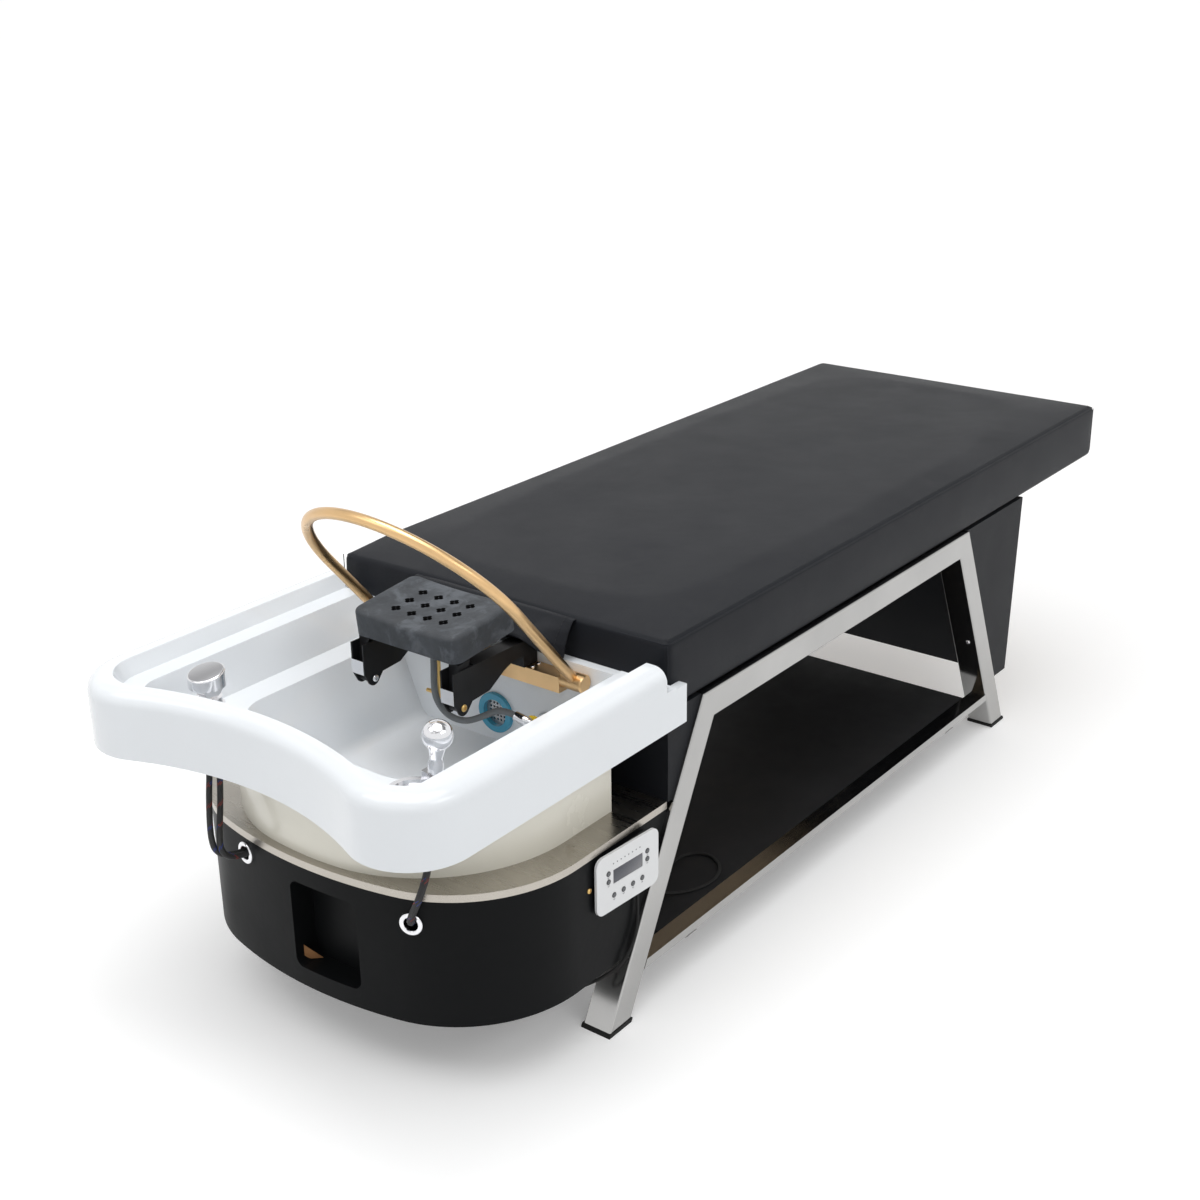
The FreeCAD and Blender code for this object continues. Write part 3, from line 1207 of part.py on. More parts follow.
PAD_LONG = root_of((S.pad_front - S.pad_rear) * (S.pad_front - S.pad_rear)
                   + (S.pad_rear_high - S.pad_front_high) * (S.pad_rear_high - S.pad_front_high))


# How far a hole's lobes lie from its middle, as a share of a lobe's radius.
LOBE_SPREAD_SHARE = 1.15


def quatrefoil(x, y):
    """One hole of the headrest: four lobes round a point."""
    lobe = S.pad_hole.value / 4
    deep = S.pad_hole_deep.value
    bars = []
    for step in range(4):
        turn = math.radians(90 * step)
        out = lobe * LOBE_SPREAD_SHARE
        middle = Vector(x + out * math.cos(turn), y + out * math.sin(turn), -deep)
        bars.append(Part.makeCylinder(lobe, deep * 2, middle))
    return bars[0].fuse(bars[1:])


def headrest_pad():
    """A soft moulded pad: round corners, a dip for the neck and three rows of four holes."""
    half = S.pad_wide / 2
    block = box(-PAD_LONG, ZERO, -half, half, -S.pad_thick, ZERO)
    corners = [edge for edge in block.Edges if straight_along(edge, FLAT)]
    block = block.makeFillet(S.pad_corner.value, corners)
    dip = S.pad_dip.value
    radius = (half.value ** 2 + dip ** 2) / (2 * dip)
    trough = Part.makeCylinder(radius, float(PAD_LONG) * 2, Vector(-float(PAD_LONG) * 2 + half.value, 0,
                                                                   radius - dip), Vector(1, 0, 0))
    block = block.cut(trough)
    top = [edge for edge in block.Edges if edge.CenterOfMass.z > -dip - 0.5
           and not straight_along(edge, FLAT)]
    block = block.makeFillet(S.pad_edge.value, top)
    holes = []
    for row in range(-1, 2):
        for column in (-1.5, -0.5, 0.5, 1.5):
            holes.append(quatrefoil(-PAD_LONG.value / 2 + row * S.pad_hole_pitch_long.value,
                                    column * S.pad_hole_pitch_wide.value))
    item = shape_node("headrest_pad", block.cut(holes))
    item.Placement = pad_placement()
    return item


def headrest_base():
    """A plate under the pad with two lugs down into the arms, which turn on the arms' bolts."""
    inset = S.plate_inset
    half = S.pad_wide / 2
    top = -S.pad_thick
    plate = box(-PAD_LONG + inset / 2, -inset, -half + inset, half - inset, top - S.plate_thick, top)
    plate.Placement = pad_placement()
    plate = plate.copy()
    pivot = Vector(float(from_head(-S.lobe_front)), 0, S.lobe_high.value)
    foot = pad_placement().multVec(Vector(-float(PAD_LONG - inset / 2), 0, float(top - S.plate_thick)))
    lug = S.lug_wide.value / 2
    head = pad_placement().multVec(Vector(-float(PAD_LONG - inset / 2 - S.lug_head), 0,
                                          float(top - S.plate_thick)))
    profile = Part.Face(Part.makePolygon([foot, Vector(pivot.x - lug, 0, pivot.z),
                                          Vector(pivot.x + lug, 0, pivot.z), head, foot]))
    pieces = [plate]
    for sign in SIDES.values():
        side = (S.arm_out - S.arm_wide / 2).value * sign - S.post_wide.value / 2
        web = profile.extrude(Vector(0, S.post_wide.value, 0))
        web.translate(Vector(0, side, 0))
        eye = Part.makeCylinder(lug, S.post_wide.value, Vector(pivot.x, side, pivot.z), Vector(0, 1, 0))
        hole = Part.makeCylinder(float(S.bolt_wide / 2 + S.pin_gap), S.post_wide.value * 2,
                                 Vector(pivot.x, side - S.post_wide.value / 2, pivot.z), Vector(0, 1, 0))
        pieces.append(web.fuse(eye).cut(hole))
    return shape_node("headrest_base", pieces[0].fuse(pieces[1:]))


def arm_clips():
    """A chrome clip across the front of each arm."""
    members = []
    for name, sign in SIDES.items():
        item = DOC.addObject("Part::Box", f"arm_clip_{name}")
        bind(item, "Length", S.clip_thick)
        bind(item, "Width", S.clip_wide)
        bind(item, "Height", S.clip_high)
        front = from_head(-S.arm_front) - S.clip_thick
        side = (S.arm_out - S.arm_wide / 2) * sign - S.clip_wide / 2
        members.append(place(item, front, side, S.arm_chin))
    return group("arm_clips", members)


def bracket_screws():
    """The bolts of the headrest's two pivots and the screws that hold the arms' feet to the beam."""
    members = []
    for name, sign in SIDES.items():
        long = S.arm_wide + S.screw_head * 2
        side = (S.arm_out - S.arm_wide / 2).value * sign
        outer = side + sign * S.arm_wide.value / 2
        out = Vector(0, sign, 0)
        pivot = Vector(float(from_head(-S.lobe_front)), outer, S.lobe_high.value)
        shank = Part.makeCylinder(S.bolt_wide.value / 2, S.arm_wide.value, pivot, -out)
        head = Part.makeCylinder(S.bolt_head.value / 2, S.screw_head.value, pivot, out)
        inner = pivot - out * S.arm_wide.value
        tail = Part.makeCylinder(S.bolt_head.value / 2, S.screw_head.value, inner, -out)
        members.append(shape_node(f"pivot_bolt_{name}", shank.fuse([head, tail])))
        for step in (-1, 1):
            y = side + sign * (S.arm_wide / 2 + S.screw_wide).value
            x = float(BOWL_REAR - S.beam_deep / 2) + step * S.screw_wide.value
            cap = Part.makeCylinder(S.screw_wide.value / 2, S.screw_head.value,
                                    Vector(x, y, float(S.beam_high)))
            members.append(shape_node(f"beam_screw_{name}_{step + 1}", cap))
    return group("bracket_screws", members)


# Soft parts

# Heights of the cushion's levels as shares of its thickness, with the inset of each as a share of
# the draw of its sides, and of its corner's roundness.
CUSHION_SHARES = [(0.0, 1.0), (0.14, 0.0), (0.80, 0.0), (0.90, 0.7), (0.95, 2.6)]


def rounded_wire(left, right, side, corner, up):
    """A level outline, straight along the sides with round corners."""
    slant = corner * (1 - math.sqrt(0.5))
    near = corner - side
    far = side - corner
    front = left + corner
    back = right - corner

    def at(x, y):
        return Vector(x, y, up)

    lines = [(at(front, -side), at(back, -side)), (at(right, near), at(right, far)),
             (at(back, side), at(front, side)), (at(left, far), at(left, near))]
    bends = [at(right - slant, slant - side), at(right - slant, side - slant), at(left + slant, side - slant),
             at(left + slant, slant - side)]
    edges = []
    for index, (line, bend) in enumerate(zip(lines, bends)):
        edges.append(Part.LineSegment(*line).toShape())
        edges.append(Part.Arc(line[1], bend, lines[(index + 1) % len(lines)][0]).toShape())
    return Part.Wire(edges)


def cushion_form(grow):
    """The cushion's outer form with drawn-in sides and a crowned top, grown all round."""
    low = float(BOARD_LOW + S.soft_gap) - grow
    high = S.bed_high.value + grow
    left = HEAD.value - grow
    right = float(from_head(S.bed_long)) + grow
    side = S.bed_wide.value / 2 + grow
    wires = []
    for up_share, inset_share in CUSHION_SHARES:
        inset = S.cushion_draw.value * inset_share
        corner = S.cushion_corner.value + inset
        wires.append(rounded_wire(left + inset, right - inset, side - inset, corner,
                                  low + (high - low) * up_share))
    inset = S.cushion_crown_in.value
    corner = S.cushion_corner.value + inset / 2
    wires.append(rounded_wire(left + inset, right - inset, side - inset, corner, high))
    return Part.makeLoft(wires, True, True)


def cushion():
    """A boxed cushion, hollowed below for its board."""
    gap = S.board_inset - S.soft_gap
    board = box(HEAD + gap, from_head(S.bed_long) - gap, gap - S.bed_wide / 2, S.bed_wide / 2 - gap,
                BOARD_LOW - S.overrun, BOARD_LOW + S.board_thick + S.soft_gap)
    return shape_node("cushion", cushion_form(ZERO.value).cut(board))


# The neck flap's lines, from its middle to its edge: the side as a share of its half width, then
# points as shares of its reach out over the basin and of the drop from the cushion's top to the beam.
FLAP_SHARES = [
    (0.00, ((-0.12, 0.11), (0.06, 0.075), (0.45, 0.22), (0.82, 0.42), (1.00, 0.60))),
    (0.44, ((-0.12, 0.11), (0.06, 0.075), (0.42, 0.19), (0.75, 0.325), (1.00, 0.36))),
    (0.66, ((-0.12, 0.11), (0.06, 0.075), (0.42, 0.19), (0.75, 0.325), (1.00, 0.36))),
    (0.78, ((-0.12, 0.11), (0.06, 0.085), (0.36, 0.24), (0.58, 0.42), (0.68, 0.66))),
    (1.00, ((-0.12, 0.11), (0.06, 0.10), (0.20, 0.28), (0.34, 0.52), (0.40, 0.76))),
]


def flap_section(side, shares):
    """One line of the flap as a thin closed outline."""
    reach = S.flap_reach.value
    drop = float(S.bed_high - S.beam_high)
    start = HEAD.value
    top = [Vector(start - reach * along, side, S.bed_high.value - drop * down) for along, down in shares]
    under = []
    for index, point in enumerate(top):
        run = top[min(index + 1, len(top) - 1)] - top[max(index - 1, 0)]
        under.append(point + run.cross(Vector(0, 1, 0)).normalize() * S.flap_thick.value * -1)
    return Part.makePolygon(top + under[::-1] + top[:1])


def neck_flap():
    """A flap from the cushion's seam that lies over the arms' roots and falls beside and between them."""
    half = S.flap_half.value
    lines = [(-half * share, points) for share, points in FLAP_SHARES[:0:-1]]
    lines += [(half * share, points) for share, points in FLAP_SHARES]
    wires = [flap_section(side, points) for side, points in lines]
    form = Part.makeLoft(wires, True, True)
    return shape_node("neck_flap", form.cut(cushion_form(S.soft_gap.value)))


# Head feed

# Routes of the hoses and cables: places along the bed from the head face, across it, and up.
FEED_ROUTE = [(-68, -97, 421), (-70.2, -70.6, 426.5), (-80, -44, 410), (-95, -19, 399), (-110, 3, 410),
              (-121, 14, 438), (-127, 10, 470), (-131, 4, 500), (-131, 4, 531)]
# The elbow's route is counted from where the feed's axis meets the head face.
ELBOW_ROUTE = [(4, 0, 0), (-36, 0, 0), (-66, -4, 24), (-68, 20, 29)]
SUPPLY_ROUTES = [
    [(-428, 167, 430), (-428, 167, 404), (-438, 161, 374), (-451, 149, 346), (-462, 137, 320),
     (-464, 128, 300), (-444, 120.5, 285), (-398.5, 113.2, 285)],
    [(-416, 160, 430), (-416, 160, 404), (-425, 152, 374), (-439, 140, 347), (-454, 128, 322),
     (-462, 118, 302), (-445.4, 111.2, 285), (-400, 103.8, 285)],
]
SHOWER_ROUTE = [(-379, -213, 392), (-402, -226, 362), (-421, -226, 330), (-424, -212, 300)]
PANEL_ROUTE = [(-79, -327, 221), (-79, -327, 192), (-81, -329, 160), (-95, -330, 130), (-119, -328, 107),
               (-146, -314, 94), (-174, -296, 86), (-196, -278, 83), (-210, -262, 86), (-214, -257, 97),
               (-214, -257, 110)]
SHELF_ROUTE = [(0, -236, 140), (24, -236, 140), (50, -239, 122), (76, -246, 100), (108, -262, 88),
               (142, -284, 87.8), (184, -290, 87.8), (222, -273, 87.8), (240, -240, 87.8), (228, -212, 87.8),
               (196, -202, 87.8), (158, -208, 87.8), (120, -213, 88), (82, -211, 96), (50, -206, 115),
               (24, -204, 133), (0, -204, 133)]


def along_bed(route):
    """A route with its first figure counted from the head face."""
    return [(HEAD.value + x, y, z) for x, y, z in route]


def feed_hose():
    return shape_node("feed_hose", tube("feed_hose", along_bed(FEED_ROUTE), S.feed_hose_wide))


def feed_elbow():
    """A wall flange, a bent pipe from it and a six-sided union where the hose begins."""
    flange = feed_bar(S.feed_flange_wide, -S.feed_flange_thick, ZERO)
    start = Vector(HEAD.value, -FEED_SIDE.value, S.feed_high.value)
    route = [tuple(start + Vector(*point)) for point in ELBOW_ROUTE]
    pipe = tube("feed_elbow", route, S.feed_pipe_wide)
    return shape_node("feed_elbow", flange.fuse(pipe))


def on_pad(along, side):
    """A place under the headrest's plate, as a distance from the pad's rear and from its middle."""
    return pad_placement().multVec(Vector(-float(along), float(side), -float(S.pad_thick + S.plate_thick)))


def feed_ferrule():
    """The crimped end of the feed hose, screwed into the headrest's plate."""
    foot = Vector(*along_bed(FEED_ROUTE)[-1])
    top = on_pad(S.ferrule_along, ZERO)
    ring = Part.makeCylinder(S.ferrule_wide.value / 2, top.z - foot.z + S.overrun.value, foot)
    under = Part.makeBox(*[S.pad_wide.value] * 3)
    under.Placement = pad_placement().multiply(Placement(
        Vector(-S.pad_wide.value, -S.pad_wide.value / 2, -float(S.pad_thick + S.plate_thick)
               - S.pad_wide.value), Rotation()))
    return shape_node("feed_ferrule", ring.common(under))


def valve_stem():
    """A brass stem under the plate with a side knob."""
    top = on_pad(S.stem_along, S.stem_side)
    long = S.stem_long.value
    stem = Part.makeCylinder(S.stem_wide.value / 2, long + S.overrun.value, top - Vector(0, 0, long))
    under = Part.makeBox(*[S.pad_wide.value] * 3)
    under.Placement = pad_placement().multiply(Placement(
        Vector(-S.pad_wide.value, -S.pad_wide.value / 2, -float(S.pad_thick + S.plate_thick)
               - S.pad_wide.value), Rotation()))
    knob = Part.makeCylinder(S.stem_knob_wide.value / 2, S.stem_knob_long.value,
                             top - Vector(0, 0, long - S.stem_knob_wide.value), Vector(0, 1, 0))
    return shape_node("valve_stem", stem.common(under).fuse(knob))


def supply_hoses():
    members = []
    for index, route in enumerate(SUPPLY_ROUTES):
        name = f"supply_hose_{index}"
        members.append(shape_node(name, tube(name, along_bed(route), S.supply_wide)))
    return group("supply_hoses", members)


def shower_route():
    """From the coupling's foot under the deck, round the skirt, to the near grommet and into the tank."""
    start = shower_placement(-S.coupling_below).Base
    spot, outward = grommet_spots()[0]
    step = shower_placement().Rotation.multVec(Vector(0, 0, -S.hose_lead.value))
    mouth = spot + outward * S.grommet_thick.value
    tail = spot - outward * S.hose_lead.value
    middle = [Vector(HEAD.value + x, y, z) for x, y, z in SHOWER_ROUTE]
    return [tuple(point) for point in [start, start + step] + middle + [mouth, tail]]


def shower_hose():
    return shape_node("shower_hose", tube("shower_hose", shower_route(), S.shower_hose_wide))


def panel_cable():
    return shape_node("panel_cable", tube("panel_cable", along_bed(PANEL_ROUTE), S.panel_cable_wide))


def shelf_cable():
    return shape_node("shelf_cable", tube("shelf_cable", along_bed(SHELF_ROUTE), S.shelf_cable_wide))


# Control panel

PANEL_WIDE = S.panel_front - S.panel_rear
PANEL_TALL = S.panel_high - S.panel_low


def panel_placement():
    """The outer face of the panel: X along it, Z up, its rear edge the furthest out from the bed."""
    turn = Rotation(FLAT, -S.panel_yaw.value)
    rear = Vector(float(from_head(-S.panel_rear)), -PANEL_OUT.value,
                  float(S.panel_low + PANEL_TALL / 2))
    return Placement(rear - turn.multVec(Vector(float(PANEL_WIDE) / 2, 0, 0)), turn)


BUTTONS_BELOW = 4


def button_places():
    """Two columns of two buttons and a row of four below them, from the panel's middle."""
    rows = (S.button_row_high, S.button_row_low)
    places = [(S.button_column * sign, row) for sign in SIDES.values() for row in rows]
    first = -S.button_pitch * (BUTTONS_BELOW - 1) / 2
    return places + [(first + S.button_pitch * step, -S.button_row_foot) for step in range(BUTTONS_BELOW)]


def panel_face():
    """The white face plate, with a bore for each button and a recess for the display."""
    item = body("panel_face")
    half = PANEL_WIDE / 2
    tall = PANEL_TALL / 2
    corners = rounded(-half, -tall, half, tall, S.panel_corner)
    pad(item, outline(item, "XZ_Plane", corners), S.panel_face_thick, False, True)
    through = (S.panel_face_thick + S.overrun) * 2
    pocket(item, circles(item, "XZ_Plane", button_places(), S.button_wide + S.button_gap * 2), through)
    left = -S.display_wide / 2 - S.display_gap
    high = S.display_up + S.display_high / 2 + S.display_gap
    screen = [(left, S.display_up * 2 - high), (-left, S.display_up * 2 - high), (-left, high), (left, high)]
    pocket(item, outline(item, "XZ_Plane", screen), S.display_thick * 2)
    item.Placement = panel_placement()
    return item


def panel_display():
    item = body("panel_display")
    left = -S.display_wide / 2
    low = S.display_up - S.display_high / 2
    high = S.display_up + S.display_high / 2
    pad(item, outline(item, "XZ_Plane", [(left, low), (-left, low), (-left, high), (left, high)],
                      -S.display_gap), S.display_thick - S.display_gap, False, True)
    item.Placement = panel_placement()
    return item


def panel_buttons():
    nodes = []
    for number, (across, up) in enumerate(button_places(), start=1):
        item = body(f"button_{number}")
        long = S.panel_face_thick - S.button_travel - S.button_gap
        pad(item, circles(item, "XZ_Plane", [(across, up)], S.button_wide, S.button_proud), long, False, True)
        item.Placement = panel_placement()
        nodes.append(item)
    return nodes


def panel_housing():
    """A black box between the face plate and the tank's side, cut to the tank's flat wall."""
    inset = S.panel_house_inset
    half = PANEL_WIDE / 2 - inset
    tall = PANEL_TALL / 2 - inset
    block = box(-half, half, S.panel_face_thick, S.panel_face_thick + S.tube_wide, -tall, tall)
    edges = [edge for edge in block.Edges if straight_along(edge, Vector(0, 1, 0))]
    block = block.makeFillet(float(S.panel_corner - inset / 2), edges)
    block.Placement = panel_placement()
    outside = box(HEAD - TANK_FRONT, HEAD + TANK_FRONT, -FRAME_WIDE, -TANK_SIDE, ZERO, S.bed_high)
    return shape_node("panel_housing", block.common(outside))


def check(nodes):
    """Every object is sound, and every cut has taken something away."""
    DOC.recompute()
    for item in DOC.Objects:
        if "Invalid" in item.State or "Error" in item.State:
            raise ValueError(f"{item.Label}: {item.State}")
        if item.TypeId in ("PartDesign::Pocket", "PartDesign::Groove"):
            if item.Shape.Volume >= item.BaseFeature.Shape.Volume:
                raise ValueError(f"{item.Label} cuts nothing")
    for node in nodes:
        if node.Shape.isNull() or not node.Shape.isValid():
            raise ValueError(f"{node.Label}: the shape is not valid")


def write(nodes):
    os.makedirs("parts", exist_ok=True)
    for node in nodes:
        node.Shape.exportStep(f"parts/{node.Label}.step")
        box = node.Shape.BoundBox
        spans = (box.XMin, box.XMax, box.YMin, box.YMax, box.ZMin, box.ZMax)
        print(f"{node.Label}: {len(node.Shape.Solids)} solids, {node.Shape.Volume / 1000:.1f} cm3, "
              f"x, y and z from and to {' '.join(f'{span:.1f}' for span in spans)}")


def main():
    nodes = make_frame()
    nodes += [lower_shelf(), seat_board(), cushion(), head_box(), foot_box()]
    nodes += [tank_shell(), tank_base(), steel_tray(), hose_grommets(), circulation_pump(), heater_unit()]
    nodes += [basin(), basin_skirt(), strainer_ring(), strainer_mesh(), waste_pipe()]
    nodes += [mixer_body(), mixer_cartridge(), mixer_lever(), supply_hoses()]
    nodes += [shower_ring(), shower_head(), shower_coupling(), shower_hose()]
    nodes += [arch_beam(), arch_hubs(), arch_tube(), bracket_screws()]
    nodes += [headrest_pad(), headrest_base(), headrest_arms(), arm_clips(), neck_flap()]
    nodes += [feed_elbow(), feed_hose(), feed_ferrule(), valve_stem()]
    nodes += [panel_housing(), panel_face(), panel_display(), panel_cable(), shelf_cable()]
    nodes += panel_buttons()
    check(nodes)
    write(nodes)


main()
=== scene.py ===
"""Hair washing bed: the looks of its pieces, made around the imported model."""

import json
import math

import bmesh
import bpy
from bpy.props import FloatProperty, FloatVectorProperty, PointerProperty
from mathutils import Matrix, Vector, bvhtree, noise


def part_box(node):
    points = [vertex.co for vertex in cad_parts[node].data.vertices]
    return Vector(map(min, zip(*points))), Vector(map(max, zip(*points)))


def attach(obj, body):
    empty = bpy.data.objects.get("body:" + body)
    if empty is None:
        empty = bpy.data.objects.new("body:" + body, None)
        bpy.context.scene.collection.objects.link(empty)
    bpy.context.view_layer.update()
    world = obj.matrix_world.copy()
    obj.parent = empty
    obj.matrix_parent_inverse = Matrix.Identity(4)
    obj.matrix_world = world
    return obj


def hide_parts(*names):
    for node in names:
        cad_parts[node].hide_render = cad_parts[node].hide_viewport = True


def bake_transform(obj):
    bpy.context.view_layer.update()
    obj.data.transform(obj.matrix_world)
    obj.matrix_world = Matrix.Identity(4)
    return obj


bl_info = {
    "name": "Hair Washing Bed",
    "version": (1, 0, 0),
    "blender": (4, 5, 0),
    "location": "View3D > Sidebar > Wash Bed",
    "description": "Upholstery, moulded basin, fittings, hoses and finishes of a hair washing bed",
    "category": "Object",
}

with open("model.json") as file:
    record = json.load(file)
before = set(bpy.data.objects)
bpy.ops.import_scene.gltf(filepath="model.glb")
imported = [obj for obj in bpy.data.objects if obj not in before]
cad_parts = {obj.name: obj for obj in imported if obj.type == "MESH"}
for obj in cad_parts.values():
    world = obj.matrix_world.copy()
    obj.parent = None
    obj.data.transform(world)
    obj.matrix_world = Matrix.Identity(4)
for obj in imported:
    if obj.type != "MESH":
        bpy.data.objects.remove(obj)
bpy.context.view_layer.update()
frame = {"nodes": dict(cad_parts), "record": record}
BODY_OF = {node: body for body, nodes in frame["record"]["behaviour"]["bodies"].items() for node in nodes}
SLOT_OF = {row["node"]: row["material_slot"] for row in frame["record"]["subparts"]}
MM = 0.001
UP = Vector((0, 0, 1))


# Sizes and colours

def length(name, description, default):
    return FloatProperty(name=name, description=description, default=default, unit="LENGTH", precision=4)


def colour(name, description, default):
    return FloatVectorProperty(name=name, description=description, default=default, subtype="COLOR",
                               size=3, min=0, max=1)


def share(name, description, default):
    return FloatProperty(name=name, description=description, default=default, subtype="FACTOR",
                         min=0, max=1)


class WashBedUpholstery(bpy.types.PropertyGroup):
    """Sizes and colours of the padded and covered pieces."""
    cover: colour("Cover", "Colour of the imitation leather", (0.0085, 0.0097, 0.0130))
    roughness: share("Roughness", "Roughness of the imitation leather", 0.46)
    pebble: length("Pebble", "Size of the grain", 0.0016)
    puff: length("Puff", "How far the cover may swell over its foam", 0.007)
    seam_drop: length("Seam drop", "How far the top seam lies below the top edge", 0.004)
    piping: length("Piping", "Thickness of the welt in the seams", 0.0022)
    stitch: length("Stitch", "Length of a stitch", 0.0042)
    foam: colour("Foam", "Colour of the headrest's skin", (0.050, 0.055, 0.062))


class WashBedMoulding(bpy.types.PropertyGroup):
    """Colours and gloss of the basin, its skirt and the tank."""
    basin: colour("Basin", "Colour of the basin", (0.79, 0.82, 0.85))
    skirt: colour("Skirt", "Colour of the wall under the basin", (0.80, 0.775, 0.68))
    tank: colour("Tank", "Colour of the tank", (0.0060, 0.0065, 0.0070))
    gloss: share("Gloss roughness", "Roughness of the glossy mouldings", 0.13)


class WashBedMetal(bpy.types.PropertyGroup):
    """Colours of the metals."""
    steel: colour("Steel", "Colour of the polished tubes", (0.44, 0.437, 0.43))
    tray: colour("Tray", "Colour of the tank's lid", (0.46, 0.43, 0.385))
    chrome: colour("Chrome", "Colour of the fittings", (0.72, 0.72, 0.74))
    gold: colour("Gold", "Colour of the arch", (0.72, 0.475, 0.235))
    brass: colour("Brass", "Colour of bare brass", (0.66, 0.43, 0.13))


class WashBedHoses(bpy.types.PropertyGroup):
    """Thicknesses and colours of the hoses and cables."""
    supply: length("Supply hose", "Thickness of the mixer's hoses", 0.009)
    shower: length("Shower hose", "Thickness of the hand shower's hose", 0.010)
    feed: length("Feed hose", "Thickness of the headrest's hose", 0.010)
    cable: length("Cable", "Thickness of the cables", 0.005)
    sleeve: colour("Sleeve", "Colour of the braid", (0.012, 0.012, 0.013))
    grey: colour("Grey hose", "Colour of the headrest's hose", (0.155, 0.165, 0.17))


class WashBedStage(bpy.types.PropertyGroup):
    """Light and camera."""
    floor: colour("Floor", "Colour of the floor", (0.88, 0.88, 0.88))
    sun: FloatProperty(name="Sun", description="Strength of the soft main light", default=1.22, min=0)
    sky: FloatProperty(name="Sky", description="Strength of the light from all round", default=0.54, min=0)
    lens: FloatProperty(name="Lens", description="Focal length for the photograph's framing",
                        default=51.24, min=1, subtype="DISTANCE_CAMERA")


GROUPS = {"upholstery": WashBedUpholstery, "moulding": WashBedMoulding, "metal": WashBedMetal,
          "hoses": WashBedHoses, "stage": WashBedStage}


def settings(name):
    return getattr(bpy.context.scene, f"wash_bed_{name}")


# Node groups

def group_tree(name, kind, inputs, outputs):
    """A node group with typed inputs and outputs, its two end nodes and its inputs' identifiers."""
    tree = bpy.data.node_groups.new(name, kind)
    sockets = {}
    for title, sort, default in inputs:
        socket = tree.interface.new_socket(name=title, in_out="INPUT", socket_type=f"NodeSocket{sort}")
        if default is not None:
            socket.default_value = default
        sockets[title] = socket.identifier
    for title, sort in outputs:
        tree.interface.new_socket(name=title, in_out="OUTPUT", socket_type=f"NodeSocket{sort}")
    return tree, tree.nodes.new("NodeGroupInput"), tree.nodes.new("NodeGroupOutput"), sockets


def shader_group(name, inputs, outputs):
    """A shader group with a vector, the given inputs and number outputs, and its two end nodes."""
    return group_tree(name, "ShaderNodeTree", [("Vector", "Vector", None), *inputs],
                      [(title, "Float") for title in outputs])[:3]


def add(tree, kind, inputs=None, family="ShaderNode", **attributes):
    """A node with its attributes set and each input linked to a socket or set to a value."""
    item = tree.nodes.new(f"{family}{kind}")
    for name, value in attributes.items():
        setattr(item, name, value)
    for key, value in (inputs or {}).items():
        if isinstance(value, bpy.types.NodeSocket):
            tree.links.new(value, item.inputs[key])
        else:
            item.inputs[key].default_value = value
    return item


def maths(tree, operation, first, second):
    return add(tree, "Math", {0: first, 1: second}, operation=operation).outputs[0]


def make_tone_group():
    """Broad uneven tone, from one value to another."""
    tree, start, end = shader_group("Uneven Tone", [("Scale", "Float", 5.0), ("From", "Float", 0.4),
                                                    ("To", "Float", 0.6)], ["Value"])
    cloud = add(tree, "TexNoise", {"Vector": start.outputs["Vector"], "Scale": start.outputs["Scale"],
                                   "Detail": 4.0, "Roughness": 0.55})
    span = add(tree, "MapRange", {"Value": cloud.outputs["Fac"], "From Min": 0.3, "From Max": 0.7,
                                  "To Min": start.outputs["From"], "To Max": start.outputs["To"]})
    tree.links.new(span.outputs["Result"], end.inputs["Value"])


def make_grain_group():
    """Pebbled grain of a coated cover, with finer pores between the pebbles."""
    tree, start, end = shader_group("Pebbled Grain", [("Pebble", "Float", 0.0016)], ["Height"])
    scale = maths(tree, "DIVIDE", 1.0, start.outputs["Pebble"])
    drift = add(tree, "TexNoise", {"Vector": start.outputs["Vector"], "Scale": 220.0, "Detail": 1.0})
    shift = add(tree, "VectorMath", {0: drift.outputs["Color"], "Scale": 0.0007}, operation="SCALE")
    moved = add(tree, "VectorMath", {0: start.outputs["Vector"], 1: shift.outputs[0]}, operation="ADD")
    cells = add(tree, "TexVoronoi", {"Vector": moved.outputs[0], "Scale": scale}, feature="DISTANCE_TO_EDGE")
    valley = add(tree, "MapRange", {"Value": cells.outputs["Distance"], "From Min": 0.0, "From Max": 0.22},
                 interpolation_type="SMOOTHSTEP")
    pores = add(tree, "TexNoise", {"Vector": start.outputs["Vector"], "Scale": 1800.0, "Detail": 2.0})
    fine = maths(tree, "MULTIPLY", pores.outputs["Fac"], 0.35)
    tree.links.new(maths(tree, "ADD", valley.outputs["Result"], fine), end.inputs["Height"])


def make_streak_group():
    """Fine drawn lines along one direction, as on ground or rolled sheet."""
    tree, start, end = shader_group("Drawn Lines", [("Fineness", "Float", 900.0),
                                                    ("Stretch", "Vector", (0.02, 1.0, 1.0))],
                                    ["Height", "Tone"])
    stretched = add(tree, "VectorMath", {0: start.outputs["Vector"], 1: start.outputs["Stretch"]},
                    operation="MULTIPLY")
    lines = add(tree, "TexNoise", {"Vector": stretched.outputs[0], "Scale": start.outputs["Fineness"],
                                   "Detail": 3.0, "Roughness": 0.65})
    broad = add(tree, "TexNoise", {"Vector": stretched.outputs[0], "Scale": 34.0, "Detail": 3.0})
    mixed = maths(tree, "MULTIPLY", maths(tree, "ADD", lines.outputs["Fac"], broad.outputs["Fac"]), 0.5)
    tree.links.new(lines.outputs["Fac"], end.inputs["Height"])
    tree.links.new(mixed, end.inputs["Tone"])


